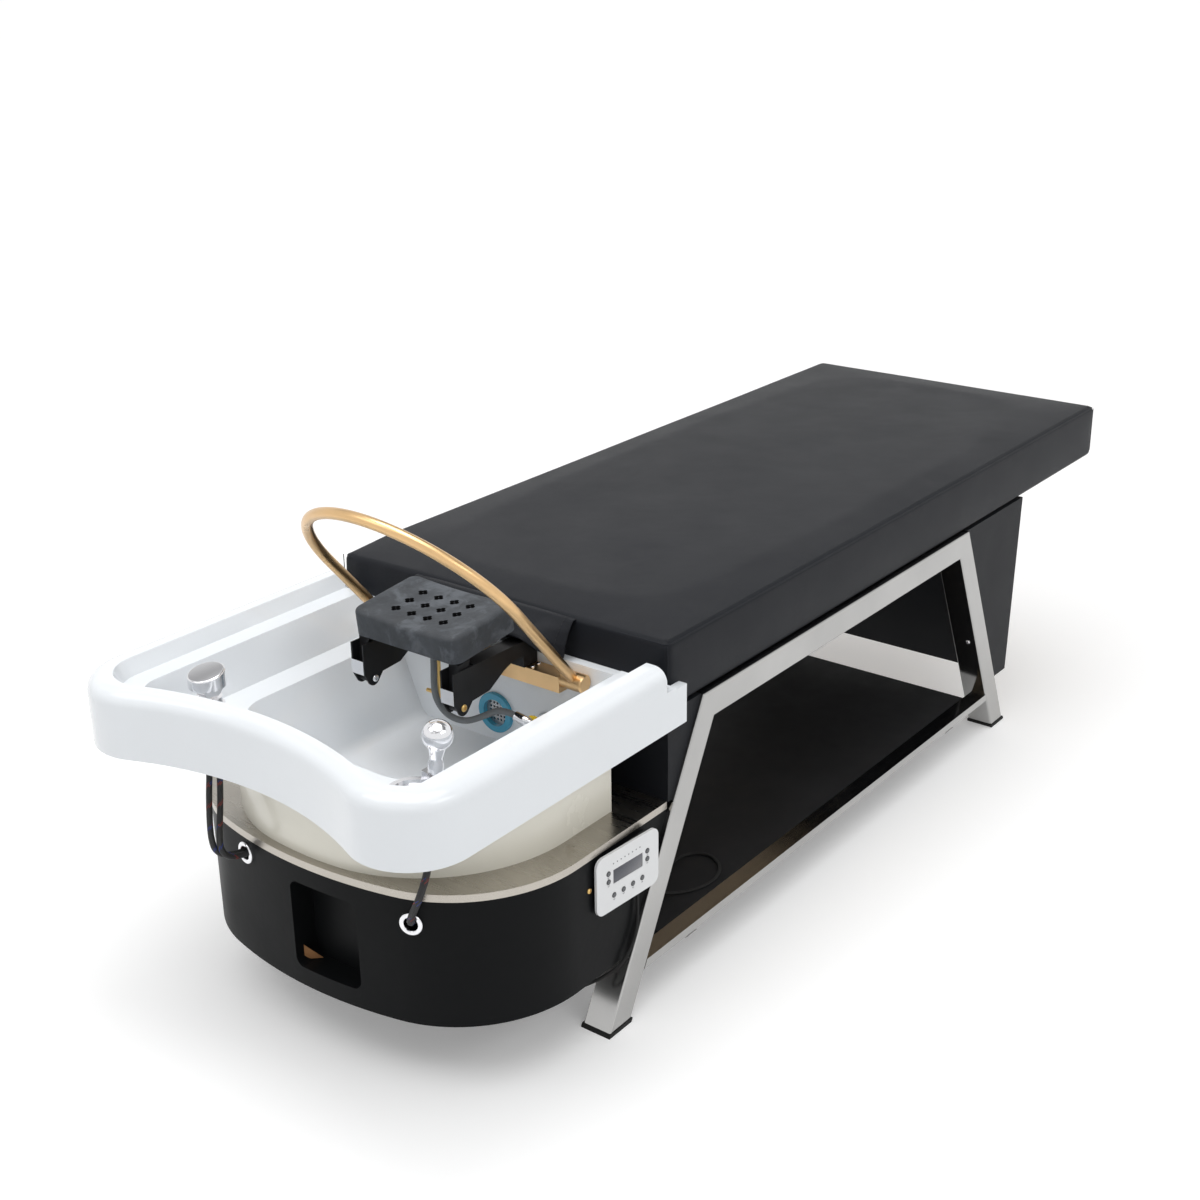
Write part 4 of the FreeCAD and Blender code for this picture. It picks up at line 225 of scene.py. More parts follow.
def make_smudge_group():
    """Patches left by hands and water, from 0 outside to 1 inside."""
    tree, start, end = shader_group("Smudges", [("Scale", "Float", 12.0), ("Cover", "Float", 0.5)], ["Mask"])
    blot = add(tree, "TexNoise", {"Vector": start.outputs["Vector"], "Scale": start.outputs["Scale"],
                                  "Detail": 6.0, "Roughness": 0.62, "Distortion": 0.4})
    floor = maths(tree, "SUBTRACT", 0.78, maths(tree, "MULTIPLY", start.outputs["Cover"], 0.4))
    mask = add(tree, "MapRange", {"Value": blot.outputs["Fac"], "From Min": floor,
                                  "From Max": maths(tree, "ADD", floor, 0.16)},
               interpolation_type="SMOOTHSTEP")
    tree.links.new(mask.outputs["Result"], end.inputs["Mask"])


def make_orange_peel_group():
    """The faint waviness of a sprayed or moulded gloss surface."""
    tree, start, end = shader_group("Orange Peel", [("Size", "Float", 0.006)], ["Height"])
    scale = maths(tree, "DIVIDE", 1.0, start.outputs["Size"])
    waves = add(tree, "TexNoise", {"Vector": start.outputs["Vector"], "Scale": scale, "Detail": 1.5})
    tree.links.new(waves.outputs["Fac"], end.inputs["Height"])


# Materials

class Finish:
    """A material under construction around one Principled shader."""

    def __init__(self, name, base, roughness, **constants):
        self.material = bpy.data.materials.new(name)
        self.material.use_nodes = True
        self.tree = self.material.node_tree
        self.shader = self.tree.nodes["Principled BSDF"]
        self.base = tuple(base)[:3]
        self.shader.inputs["Base Color"].default_value = (*self.base, 1)
        self.shader.inputs["Roughness"].default_value = roughness
        for key, value in constants.items():
            self.shader.inputs[key.replace("_", " ").title().replace("Ior", "IOR")].default_value = value
        self.place = self.tree.nodes.new("ShaderNodeTexCoord").outputs["Object"]
        self.material.diffuse_color = (*self.base, 1)

    def group(self, name, **inputs):
        titled = {key.replace("_", " ").title(): value for key, value in inputs.items()}
        return add(self.tree, "Group", {"Vector": self.place, **titled}, node_tree=bpy.data.node_groups[name])

    def tone(self, scale, low=0.0, high=1.0):
        """A number that changes broadly from one value to another."""
        return self.group("Uneven Tone", scale=scale, **{"from": low, "to": high}).outputs["Value"]

    def smudges(self, scale, cover):
        return self.group("Smudges", scale=scale, cover=cover).outputs["Mask"]

    def peel(self, size):
        return self.group("Orange Peel", size=size).outputs["Height"]

    def scaled(self, times):
        """The base colour, lighter or darker."""
        return [part * times for part in self.base]

    def spread(self, scale, darker, lighter):
        """Broad change of the base colour, as shares of it."""
        return self.mixed(self.tone(scale), self.scaled(darker), self.scaled(lighter))

    def mixed(self, mask, first, second):
        mix = add(self.tree, "Mix", {"Factor": mask}, data_type="RGBA")
        for key, value in (("A", first), ("B", second)):
            socket = [item for item in mix.inputs if item.name == key and item.type == "RGBA"][0]
            if isinstance(value, bpy.types.NodeSocket):
                self.tree.links.new(value, socket)
            else:
                socket.default_value = (*tuple(value)[:3], 1)
        return [item for item in mix.outputs if item.type == "RGBA"][0]

    def link(self, socket, name):
        self.tree.links.new(socket, self.shader.inputs[name])

    def rough(self, value, marks=None, more=0.0):
        """Roughness from a number, with more of it under the marks."""
        if marks is not None:
            value = maths(self.tree, "ADD", value, maths(self.tree, "MULTIPLY", marks, more))
        self.link(value, "Roughness")

    def bump(self, heights, strength=1.0):
        """A chain of Bump nodes, each a height and how deep it is in metres."""
        normal = None
        for height, deep in heights:
            inputs = {"Height": height, "Distance": deep, "Strength": strength}
            if normal is not None:
                inputs["Normal"] = normal
            normal = add(self.tree, "Bump", inputs).outputs["Normal"]
        self.link(normal, "Normal")
        return self


def leather(name, base, roughness, pebble, wrinkle=0.00025):
    """Imitation leather: pebbled grain, soft creases, a slight sheen and handled patches."""
    finish = Finish(name, base, roughness, sheen_weight=0.01, sheen_roughness=0.45, specular_ior_level=0.14)
    grain = finish.group("Pebbled Grain", pebble=pebble).outputs["Height"]
    handled = finish.smudges(5.0, 0.55)
    finish.link(finish.mixed(handled, finish.spread(7.0, 0.95, 1.05), finish.scaled(1.1)), "Base Color")
    finish.rough(finish.tone(9.0, roughness - 0.02, roughness + 0.03), handled, 0.03)
    return finish.bump([(finish.tone(16.0), wrinkle), (grain, 0.00007)]).material


# What a stain leaves of each part of the steel's colour.
STAIN = (0.62, 0.56, 0.46)


def polished_steel(name, base, roughness, stretch, lines=0.00001, stain=0.0):
    """Drawn metal: fine lines along it, wiped patches and, where asked, brown stains."""
    finish = Finish(name, base, roughness, metallic=1.0)
    drawn = finish.group("Drawn Lines", fineness=700.0, stretch=stretch)
    smudge = finish.smudges(9.0, 0.5)
    span = add(finish.tree, "MapRange", {"Value": drawn.outputs["Tone"], "From Min": 0.3, "From Max": 0.7,
                                         "To Min": roughness * 0.75, "To Max": roughness * 1.35})
    finish.rough(span.outputs["Result"], smudge, 0.09)
    tone = finish.spread(6.0, 0.93, 1.06)
    if stain:
        brown = [part * left for part, left in zip(base, STAIN)]
        tone = finish.mixed(maths(finish.tree, "MULTIPLY", smudge, stain), tone, brown)
    finish.link(tone, "Base Color")
    return finish.bump([(drawn.outputs["Height"], lines)], 0.5).material


def chrome(name, base, roughness=0.05):
    """Chrome with a little haze and water spots."""
    finish = Finish(name, base, roughness, metallic=1.0)
    finish.rough(finish.tone(30.0, roughness, roughness + 0.05), finish.smudges(160.0, 0.32), 0.12)
    finish.link(finish.spread(20.0, 0.96, 1.03), "Base Color")
    return finish.material


def gloss(name, base, roughness, coat=0.35, peel=0.0001, size=0.007, shine=0.5):
    """A glossy moulding: a coat, faint waviness, and light wipe marks."""
    finish = Finish(name, base, roughness, coat_weight=coat, coat_roughness=0.06, specular_ior_level=shine)
    finish.link(finish.spread(4.0, 0.985, 1.012), "Base Color")
    finish.rough(finish.tone(5.0, roughness * 0.85, roughness * 1.25), finish.smudges(7.0, 0.45), 0.06)
    return finish.bump([(finish.peel(size), peel)]).material


def matt(name, base, roughness, darker=0.85, lighter=1.2, texture=0.0012):
    """A matt surface with a fine moulded texture and slight dust."""
    finish = Finish(name, base, roughness, specular_ior_level=0.2)
    dusty = [part + 0.004 for part in finish.base]
    finish.link(finish.mixed(finish.smudges(30.0, 0.4), finish.spread(14.0, darker, lighter), dusty),
                "Base Color")
    finish.rough(finish.tone(11.0, roughness - 0.06, roughness + 0.06))
    return finish.bump([(finish.peel(texture), 0.00004)]).material


def braid(name, base):
    """A woven sleeve: slanted strands that cross, with a few coloured threads, on the hose's own map."""
    finish = Finish(name, base, 0.5)
    tree = finish.tree
    around = tree.nodes.new("ShaderNodeUVMap").outputs["UV"]
    turned = []
    for angle in (0.7, -0.7):
        lay = add(tree, "Mapping", {"Vector": around, "Rotation": (0, 0, angle)})
        weave = add(tree, "TexWave", {"Vector": lay.outputs[0], "Scale": 130.0}, wave_type="BANDS")
        turned.append(weave.outputs["Fac"])
    over = maths(tree, "MAXIMUM", turned[0], turned[1])
    lay = add(tree, "Mapping", {"Vector": around, "Rotation": (0, 0, 0.7)})
    threads = add(tree, "TexWave", {"Vector": lay.outputs[0], "Scale": 16.0}, wave_type="BANDS")
    fleck = maths(tree, "MULTIPLY", maths(tree, "GREATER_THAN", threads.outputs["Fac"], 0.93),
                  maths(tree, "GREATER_THAN", turned[0], 0.6))
    red, blue = (0.25, 0.015, 0.012), (0.01, 0.03, 0.22)
    tint = finish.mixed(maths(tree, "GREATER_THAN", finish.tone(30.0), 0.5), red, blue)
    finish.link(finish.mixed(fleck, finish.mixed(over, finish.scaled(0.4), finish.base), tint), "Base Color")
    finish.rough(finish.tone(40.0, 0.42, 0.6))
    return finish.bump([(over, 0.0004)]).material


# Finishes whose colours are not settings: name, colour, roughness and, where they differ, further values.
# The first row is a near-black painted shade for the walls of the headrest's drain holes, which are really
# the pad's foam.
MATTS = (("hole_dark", (0.006, 0.006, 0.007), 0.8), ("shelf_black", (0.011, 0.011, 0.012), 0.62),
         ("black_paint", (0.010, 0.010, 0.011), 0.38), ("black_plastic", (0.013, 0.013, 0.014), 0.42),
         ("rubber_black", (0.012, 0.012, 0.012), 0.66), ("grey_pipe", (0.22, 0.22, 0.23), 0.5),
         ("pump_paint", (0.10, 0.11, 0.12), 0.45), ("yellow_tape", (0.72, 0.50, 0.03), 0.5),
         ("printed_mark", (0.10, 0.11, 0.12), 0.5), ("lamp_dot", (0.25, 0.27, 0.28), 0.3),
         ("bare_board", (0.24, 0.12, 0.05), 0.7, 0.75, 1.25))
GLOSSES = (("panel_white", (0.76, 0.77, 0.78), 0.2, 0.3, 0.00002),
           ("display_dark", (0.012, 0.016, 0.035), 0.08, 0.8, 0.00001),
           ("blue_moulding", (0.045, 0.33, 0.50), 0.2),
           ("key_grey", (0.045, 0.047, 0.052), 0.32, 0.1, 0.00002))


def make_foam(base):
    """The headrest's moulded skin: blooms, dents and a fine texture."""
    finish = Finish("foam_skin", base, 0.68, specular_ior_level=0.3)
    bloom = finish.smudges(26.0, 0.75)
    finish.link(finish.mixed(bloom, finish.spread(30.0, 0.8, 1.25), finish.scaled(1.9)), "Base Color")
    finish.rough(finish.tone(24.0, 0.56, 0.76))
    finish.bump([(finish.tone(90.0), 0.0005), (finish.peel(0.0011), 0.00012)])


def make_gold(base):
    """The arch's satin gold under a thin lacquer."""
    finish = Finish("gold", base, 0.3, metallic=1.0, coat_weight=0.25, coat_roughness=0.2)
    finish.link(finish.spread(18.0, 0.94, 1.06), "Base Color")
    finish.rough(finish.tone(26.0, 0.26, 0.36))
    finish.bump([(finish.peel(0.0009), 0.00002)])


def make_plywood():
    finish = Finish("plywood", (0.42, 0.30, 0.18), 0.62)
    plies = finish.group("Drawn Lines", fineness=160.0, stretch=(0.05, 1.0, 3.0))
    finish.link(finish.mixed(plies.outputs["Tone"], (0.30, 0.20, 0.11), (0.52, 0.39, 0.25)), "Base Color")
    finish.bump([(plies.outputs["Height"], 0.0001)])


def make_materials():
    """Every finish of the bed, by name."""
    for make in (make_tone_group, make_grain_group, make_streak_group, make_smudge_group,
                 make_orange_peel_group):
        make()
    cover, mould = settings("upholstery"), settings("moulding")
    metal, hoses = settings("metal"), settings("hoses")
    leather("cover", cover.cover, cover.roughness, cover.pebble)
    leather("board_cover", [part * 0.8 for part in cover.cover], 0.5, cover.pebble * 0.8, 0.0003)
    leather("welt", [part * 1.25 for part in cover.cover], 0.42, cover.pebble * 0.6, 0.0001)
    for row in MATTS:
        matt(*row)
    for row in GLOSSES:
        gloss(*row)
    matt("stitch_thread", (0.03, 0.031, 0.034), 0.6, texture=0.0006)
    matt("hose_grey", hoses.grey, 0.45, 0.93, 1.08)
    gloss("basin_gloss", mould.basin, mould.gloss)
    gloss("skirt_gloss", mould.skirt, 0.24, 0.2)
    gloss("tank_satin", mould.tank, 0.4, 0.0, 0.00012, 0.011, 0.07)
    polished_steel("steel_long", metal.steel, 0.13, (0.015, 1.0, 1.0))
    polished_steel("steel_leg", metal.steel, 0.12, (1.0, 1.0, 0.02))
    polished_steel("steel_cross", metal.steel, 0.16, (1.0, 0.02, 1.0))
    polished_steel("tray_sheet", metal.tray, 0.27, (1.0, 0.03, 1.0), 0.00002, 0.7)
    polished_steel("mesh_sheet", (0.45, 0.46, 0.47), 0.3, (1.0, 1.0, 1.0))
    polished_steel("brass", metal.brass, 0.26, (1.0, 1.0, 1.0))
    chrome("chrome", metal.chrome)
    make_gold(metal.gold)
    make_foam(cover.foam)
    make_plywood()
    braid("braid", hoses.sleeve)


def finish_of(name):
    return bpy.data.materials[name]


# Meshes

def new_object(name, mesh, finish=None):
    item = bpy.data.objects.new(name, mesh)
    bpy.context.scene.collection.objects.link(item)
    if finish:
        mesh.materials.clear()
        mesh.materials.append(finish_of(finish))
    return item


def mesh_object(name, points, faces, finish=None, smooth=True):
    mesh = bpy.data.meshes.new(name)
    mesh.from_pydata([tuple(point) for point in points], [], faces)
    mesh.update()
    if smooth:
        mesh.shade_smooth()
    return new_object(name, mesh, finish)


def bake_modifiers(item):
    """The object's modifiers become its mesh."""
    bpy.context.view_layer.update()
    graph = bpy.context.evaluated_depsgraph_get()
    mesh = bpy.data.meshes.new_from_object(item.evaluated_get(graph))
    old = item.data
    item.modifiers.clear()
    item.data = mesh
    mesh.name = item.name
    if old.users == 0:
        bpy.data.meshes.remove(old)
    return item


def weld(item, gap=0.00002):
    """Merges an object's loose triangles and points their faces outwards."""
    mesh = bmesh.new()
    mesh.from_mesh(item.data)
    bmesh.ops.remove_doubles(mesh, verts=mesh.verts, dist=gap)
    bmesh.ops.dissolve_degenerate(mesh, dist=gap, edges=mesh.edges)
    bmesh.ops.recalc_face_normals(mesh, faces=mesh.faces)
    mesh.to_mesh(item.data)
    mesh.free()
    return item


def shade(item, angle):
    """Smooth shading up to an angle, sharp beyond it."""
    item.data.shade_smooth()
    item.data.set_sharp_from_angle(angle=math.radians(angle))
    return item


# Edges that turn by more than this stay sharp on the pieces that keep the model's shape.
SKIN_ANGLE = 32


def round_edges(item, width):
    """Bevelled edges with even shading."""
    bevel = item.modifiers.new("Round edges", "BEVEL")
    bevel.width = width
    bevel.segments = 2
    bevel.limit_method = "ANGLE"
    bevel.angle_limit = math.radians(SKIN_ANGLE)
    bake_modifiers(item)
    return shade(item, SKIN_ANGLE)


def seat(item, body, slot, *nodes):
    """A finished piece: on its body and standing for CAD nodes, which it hides; the slot is not used."""
    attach(item, body)
    if nodes:
        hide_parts(*nodes)
    return item


def copy_of(node, name, finish):
    """A welded copy of a CAD node's mesh."""
    mesh = frame["nodes"][node].data.copy()
    mesh.name = name
    if "custom_normal" in mesh.attributes:
        mesh.attributes.remove(mesh.attributes["custom_normal"])
    return weld(new_object(name, mesh, finish))


def flatten_faces(item, angle=0.5):
    """Joins the flat triangles of each plane, so that edges round evenly."""
    mesh = bmesh.new()
    mesh.from_mesh(item.data)
    bmesh.ops.dissolve_limit(mesh, angle_limit=math.radians(angle), verts=mesh.verts, edges=mesh.edges)
    mesh.to_mesh(item.data)
    mesh.free()
    return item


def skin(node, finish, edge):
    """A CAD node's own shape in its finish, with smooth curves and, where asked, rounded edges."""
    item = copy_of(node, f"{node}_skin", finish)
    if edge:
        flatten_faces(item)
        round_edges(item, edge)
    else:
        shade(item, SKIN_ANGLE)
    return seat(item, BODY_OF[node], SLOT_OF[node], node)


def turned(name, profile, finish, spin=48, smooth=30):
    """A lathe form from (radius, height) points, closed where the radius is zero."""
    points = []
    faces = []
    rings = []
    for radius, height in profile:
        if radius == 0:
            rings.append([len(points)])
            points.append((0, 0, height))
            continue
        rings.append(list(range(len(points), len(points) + spin)))
        for step in range(spin):
            turn = 2 * math.pi * step / spin
            points.append((radius * math.cos(turn), radius * math.sin(turn), height))
    for low, high in zip(rings, rings[1:]):
        for step in range(spin):
            after = (step + 1) % spin
            quad = [low[step % len(low)], low[after % len(low)], high[after % len(high)],
                    high[step % len(high)]]
            face = [point for index, point in enumerate(quad) if point not in quad[:index]]
            if len(face) > 2:
                faces.append(face)
    item = mesh_object(name, points, faces, finish)
    weld(item)
    return shade(item, smooth)


def placed(item, matrix):
    """Puts a piece's place into its mesh."""
    item.data.transform(matrix)
    item.data.update()
    return item


def joined(name, items):
    """Several meshes as one, with their own materials."""
    mesh = bmesh.new()
    finishes = []
    for item in items:
        start = len(mesh.faces)
        mesh.from_mesh(item.data)
        mesh.faces.ensure_lookup_table()
        slots = []
        for finish in item.data.materials:
            if finish not in finishes:
                finishes.append(finish)
            slots.append(finishes.index(finish))
        for face in mesh.faces[start:]:
            face.material_index = slots[face.material_index] if slots else 0
    result = bpy.data.meshes.new(name)
    mesh.to_mesh(result)
    mesh.free()
    for finish in finishes:
        result.materials.append(finish)
    for item in items:
        bpy.data.objects.remove(item)
    return new_object(name, result)


# Cords

def centreline(name, route):
    """Points along the smooth line of a route, closer together than its bends need."""
    curve = bpy.data.curves.new(name, "CURVE")
    curve.dimensions = "3D"
    spline = curve.splines.new("NURBS")
    spline.points.add(len(route) - 1)
    for point, place in zip(spline.points, route):
        point.co = (*place, 1)
    spline.order_u = 3
    spline.use_endpoint_u = True
    spline.resolution_u = 10
    item = bpy.data.objects.new(name, curve)
    bpy.context.scene.collection.objects.link(item)
    bpy.context.view_layer.update()
    graph = bpy.context.evaluated_depsgraph_get()
    mesh = bpy.data.meshes.new_from_object(item.evaluated_get(graph))
    line = [vertex.co.copy() for vertex in mesh.vertices]
    bpy.data.objects.remove(item)
    bpy.data.curves.remove(curve)
    bpy.data.meshes.remove(mesh)
    return line


def hose_mesh(name, line, width, finish, sides=16):
    """A round tube along a line, with a map that runs round it and along it in hose widths."""
    mesh = bmesh.new()
    layer = mesh.loops.layers.uv.new("UVMap")
    normal = None
    rings = []
    lengths = [0.0]
    for index, point in enumerate(line):
        before = line[max(index - 1, 0)]
        after = line[min(index + 1, len(line) - 1)]
        along = (after - before).normalized()
        if normal is None:
            normal = along.orthogonal().normalized()
        else:
            normal = (normal - along * normal.dot(along)).normalized()
            lengths.append(lengths[-1] + (point - line[index - 1]).length)
        other = along.cross(normal)
        radius = width / 2
        rings.append([mesh.verts.new(point + (normal * math.cos(turn) + other * math.sin(turn)) * radius)
                      for turn in (2 * math.pi * side / sides for side in range(sides))])
    girth = math.pi * width
    for index, (low, high) in enumerate(zip(rings, rings[1:])):
        for side in range(sides):
            after = (side + 1) % sides
            face = mesh.faces.new((low[side], low[after], high[after], high[side]))
            face.smooth = True
            marks = [(side, index), (side + 1, index), (side + 1, index + 1), (side, index + 1)]
            for loop, (across, step) in zip(face.loops, marks):
                loop[layer].uv = (across / sides * girth, lengths[step])
    for ring, flip in ((rings[0], True), (rings[-1], False)):
        mesh.faces.new(ring[::-1] if flip else ring)
    bmesh.ops.recalc_face_normals(mesh, faces=mesh.faces)
    result = bpy.data.meshes.new(name)
    mesh.to_mesh(result)
    mesh.free()
    return new_object(name, result, finish)


# Routes of the hoses and cables, in metres.
FEED_ROUTE = [(-0.5565, -0.0970, 0.4210), (-0.5587, -0.0706, 0.4265), (-0.5685, -0.0440, 0.4100),
              (-0.5835, -0.0190, 0.3990), (-0.5985, 0.0030, 0.4100), (-0.6095, 0.0140, 0.4380),
              (-0.6155, 0.0100, 0.4700), (-0.6195, 0.0040, 0.5000), (-0.6195, 0.0040, 0.5310)]
SUPPLY_ROUTES = [
    [(-0.9165, 0.1670, 0.4300), (-0.9165, 0.1670, 0.4040), (-0.9265, 0.1610, 0.3740),
     (-0.9395, 0.1490, 0.3460), (-0.9505, 0.1370, 0.3200), (-0.9525, 0.1280, 0.3000),
     (-0.9325, 0.1205, 0.2850), (-0.8870, 0.1132, 0.2850)],
    [(-0.9045, 0.1600, 0.4300), (-0.9045, 0.1600, 0.4040), (-0.9135, 0.1520, 0.3740),
     (-0.9275, 0.1400, 0.3470), (-0.9425, 0.1280, 0.3220), (-0.9505, 0.1180, 0.3020),
     (-0.9339, 0.1112, 0.2850), (-0.8885, 0.1038, 0.2850)],
]
SHOWER_ROUTE = [(-0.8515, -0.2063, 0.4481), (-0.8515, -0.2027, 0.4224), (-0.8675, -0.2130, 0.3920),
                (-0.8905, -0.2260, 0.3620), (-0.9095, -0.2260, 0.3300), (-0.9125, -0.2120, 0.3000),
                (-0.8953, -0.1928, 0.2720), (-0.8664, -0.1816, 0.2720)]
PANEL_ROUTE = [(-0.5675, -0.3270, 0.2210), (-0.5675, -0.3270, 0.1920), (-0.5695, -0.3290, 0.1600),
               (-0.5835, -0.3300, 0.1300), (-0.6075, -0.3280, 0.1070), (-0.6345, -0.3140, 0.0940),
               (-0.6625, -0.2960, 0.0860), (-0.6845, -0.2780, 0.0830), (-0.6985, -0.2620, 0.0860),
               (-0.7025, -0.2570, 0.0970), (-0.7025, -0.2570, 0.1100)]
SHELF_ROUTE = [(-0.4885, -0.2360, 0.1400), (-0.4645, -0.2360, 0.1400), (-0.4385, -0.2390, 0.1220),
               (-0.4125, -0.2460, 0.1000), (-0.3805, -0.2620, 0.0880), (-0.3465, -0.2840, 0.0878),
               (-0.3045, -0.2900, 0.0878), (-0.2665, -0.2730, 0.0878), (-0.2485, -0.2400, 0.0878),
               (-0.2605, -0.2120, 0.0878), (-0.2925, -0.2020, 0.0878), (-0.3305, -0.2080, 0.0878),
               (-0.3685, -0.2130, 0.0880), (-0.4065, -0.2110, 0.0960), (-0.4385, -0.2060, 0.1150),
               (-0.4645, -0.2040, 0.1330), (-0.4885, -0.2040, 0.1330)]


def make_cord(name, route, width, finish, node, bend=None):
    """A hose or cable along its route, on the bed or, where a bend is given, baked in place on no body."""
    line = centreline(name, route)
    item = hose_mesh(name, line, width, finish)
    if bend:
        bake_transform(item)
    else:
        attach(item, "bed")
    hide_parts(node)
    return item


def make_hoses():
    """The hoses and cables between the fittings, the tank and the headrest."""
    sizes = settings("hoses")
    for index, route in enumerate(SUPPLY_ROUTES):
        make_cord(f"supply_hose_{index + 1}", route, sizes.supply, "braid",
                  "supply_hoses")
    make_cord("shower_hose_braided", SHOWER_ROUTE, sizes.shower, "braid",
              "shower_hose",
              ("bed", "hand_shower", (-0.8515, -0.2027, 0.3000), (-0.8515, -0.2027, 0.4440)))
    make_cord("feed_hose_grey", FEED_ROUTE, sizes.feed, "hose_grey",
              "feed_hose",
              ("bed", "headrest", (-0.6195, 0.0040, 0.4300), (-0.6195, 0.0040, 0.5280)))
    make_cord("panel_lead", PANEL_ROUTE, sizes.cable, "rubber_black",
              "panel_cable")
    make_cord("shelf_lead", SHELF_ROUTE, sizes.cable, "rubber_black",
              "shelf_cable")


# Stage

# Where the camera stands, how it is turned, in degrees, and how its picture is shifted.
CAMERA_PLACE = (-2.2782, -1.5995, 1.5294)
CAMERA_AZIMUTH = 307.544
CAMERA_ELEVATION = 21.747
CAMERA_ROLL = -0.714
CAMERA_SHIFT = (-0.00862, -0.0083)
CAMERA_SENSOR = 36
CAMERA_REACH = 400

SUN_WAY = (-0.16, -0.12, 1.6)
SUN_ANGLE = 60
# Name, place, size and power of each soft box. All of them face the same point.
SOFT_BOXES = (("soft_box_left", (-2.4, 0.9, 2.6), (1.6, 0.8), 8),
              ("soft_box_front", (-0.6, -2.8, 2.4), (2.2, 0.7), 12),
              ("soft_box_basin", (-0.8, 0.0, 1.9), (0.7, 0.5), 5))
SOFT_BOX_AIM = (-0.5, 0, 0.4)

FLOOR_REACH = 90.0
FLOOR_LIFT = 0.2


def make_camera():
    """The camera that looks as the photograph does."""
    stage = settings("stage")
    camera = bpy.data.objects.new("camera", bpy.data.cameras.new("camera"))
    bpy.context.scene.collection.objects.link(camera)
    camera.data.sensor_width = CAMERA_SENSOR
    camera.data.lens = stage.lens
    camera.data.shift_x, camera.data.shift_y = CAMERA_SHIFT
    camera.data.clip_end = CAMERA_REACH
    around = math.radians(CAMERA_AZIMUTH)
    raised = math.radians(CAMERA_ELEVATION)
    rolled = math.radians(CAMERA_ROLL)
    back = Vector((math.sin(around) * math.cos(raised), -math.cos(around) * math.cos(raised),
                   math.sin(raised)))
    level = UP.cross(back).normalized()
    upright = back.cross(level)
    right = level * math.cos(rolled) + upright * math.sin(rolled)
    top = back.cross(right)
    turn = Matrix((right, top, back)).transposed().to_4x4()
    camera.matrix_world = Matrix.Translation(CAMERA_PLACE) @ turn
    bpy.context.scene.camera = camera


def seen_directly(tree):
    """1 for rays from the camera, or from metal and glass, and 0 for soft light."""
    rays = tree.nodes.new("ShaderNodeLightPath").outputs
    first = maths(tree, "MAXIMUM", rays["Is Camera Ray"], rays["Is Glossy Ray"])
    return maths(tree, "MAXIMUM", first, rays["Is Transmission Ray"])


def make_world():
    """A white room whose walls are less even in the metal than they are behind the bed."""
    stage = settings("stage")
    world = bpy.data.worlds.new("room")
    bpy.context.scene.world = world
    world.use_nodes = True
    tree = world.node_tree
    background = tree.nodes["Background"]
    rays = tree.nodes.new("ShaderNodeLightPath").outputs
    way = tree.nodes.new("ShaderNodeTexCoord").outputs["Generated"]
    walls = add(tree, "TexNoise", {"Vector": way, "Scale": 2.3, "Detail": 1.0})
    uneven = add(tree, "MapRange", {"Value": walls.outputs["Fac"], "From Min": 0.42, "From Max": 0.58,
                                    "To Min": 0.25, "To Max": 1.0}, interpolation_type="SMOOTHSTEP")
    height = add(tree, "SeparateXYZ", {"Vector": way}).outputs["Z"]
    low_down = add(tree, "MapRange", {"Value": height, "From Min": 0.45, "From Max": 0.7, "To Min": 1.0,
                                      "To Max": 0.0})
    reflected = maths(tree, "MAXIMUM", uneven.outputs["Result"], low_down.outputs["Result"])
    soft = add(tree, "MapRange", {"Value": rays["Is Glossy Ray"], "To Min": stage.sky,
                                  "To Max": reflected})
    direct = maths(tree, "MAXIMUM", rays["Is Camera Ray"], rays["Is Transmission Ray"])
    strength = add(tree, "MapRange", {"Value": direct, "To Min": soft.outputs["Result"], "To Max": 1.0})
    background.inputs["Color"].default_value = (1, 1, 1, 1)
    tree.links.new(strength.outputs["Result"], background.inputs["Strength"])


def make_lights():
    """A broad soft sun and three soft boxes."""
    stage = settings("stage")
    scene = bpy.context.scene
    scene.view_settings.view_transform = "Standard"
    sun = bpy.data.objects.new("main_light", bpy.data.lights.new("main_light", "SUN"))
    sun.data.energy = stage.sun
    sun.data.angle = math.radians(SUN_ANGLE)
    sun.rotation_euler = Vector(SUN_WAY).to_track_quat("Z", "Y").to_euler()
    scene.collection.objects.link(sun)
    for name, place, size, power in SOFT_BOXES:
        lamp = bpy.data.objects.new(name, bpy.data.lights.new(name, "AREA"))
        lamp.data.shape = "RECTANGLE"
        lamp.data.size, lamp.data.size_y = size
        lamp.data.energy = power
        lamp.location = place
        away = Vector(place) - Vector(SOFT_BOX_AIM)
        lamp.rotation_euler = away.to_track_quat("Z", "Y").to_euler()
        scene.collection.objects.link(lamp)


def make_floor():
    """A plain pale floor that looks white but keeps the bed's shadow."""
    stage = settings("stage")
    spots = [(across * FLOOR_REACH, along * FLOOR_REACH, 0)
             for across, along in ((-1, -1), (1, -1), (1, 1), (-1, 1))]
    item = mesh_object("floor", spots, [(0, 1, 2, 3)])
    material = bpy.data.materials.new("floor")
    material.use_nodes = True
    tree = material.node_tree
    shader = tree.nodes["Principled BSDF"]
    shader.inputs["Base Color"].default_value = (*stage.floor, 1)
    shader.inputs["Roughness"].default_value = 0.9
    shader.inputs["Specular IOR Level"].default_value = 0.0
    lift = maths(tree, "MULTIPLY", seen_directly(tree), FLOOR_LIFT)
    tree.links.new(lift, shader.inputs["Emission Strength"])
    shader.inputs["Emission Color"].default_value = (1, 1, 1, 1)
    item.data.materials.append(material)


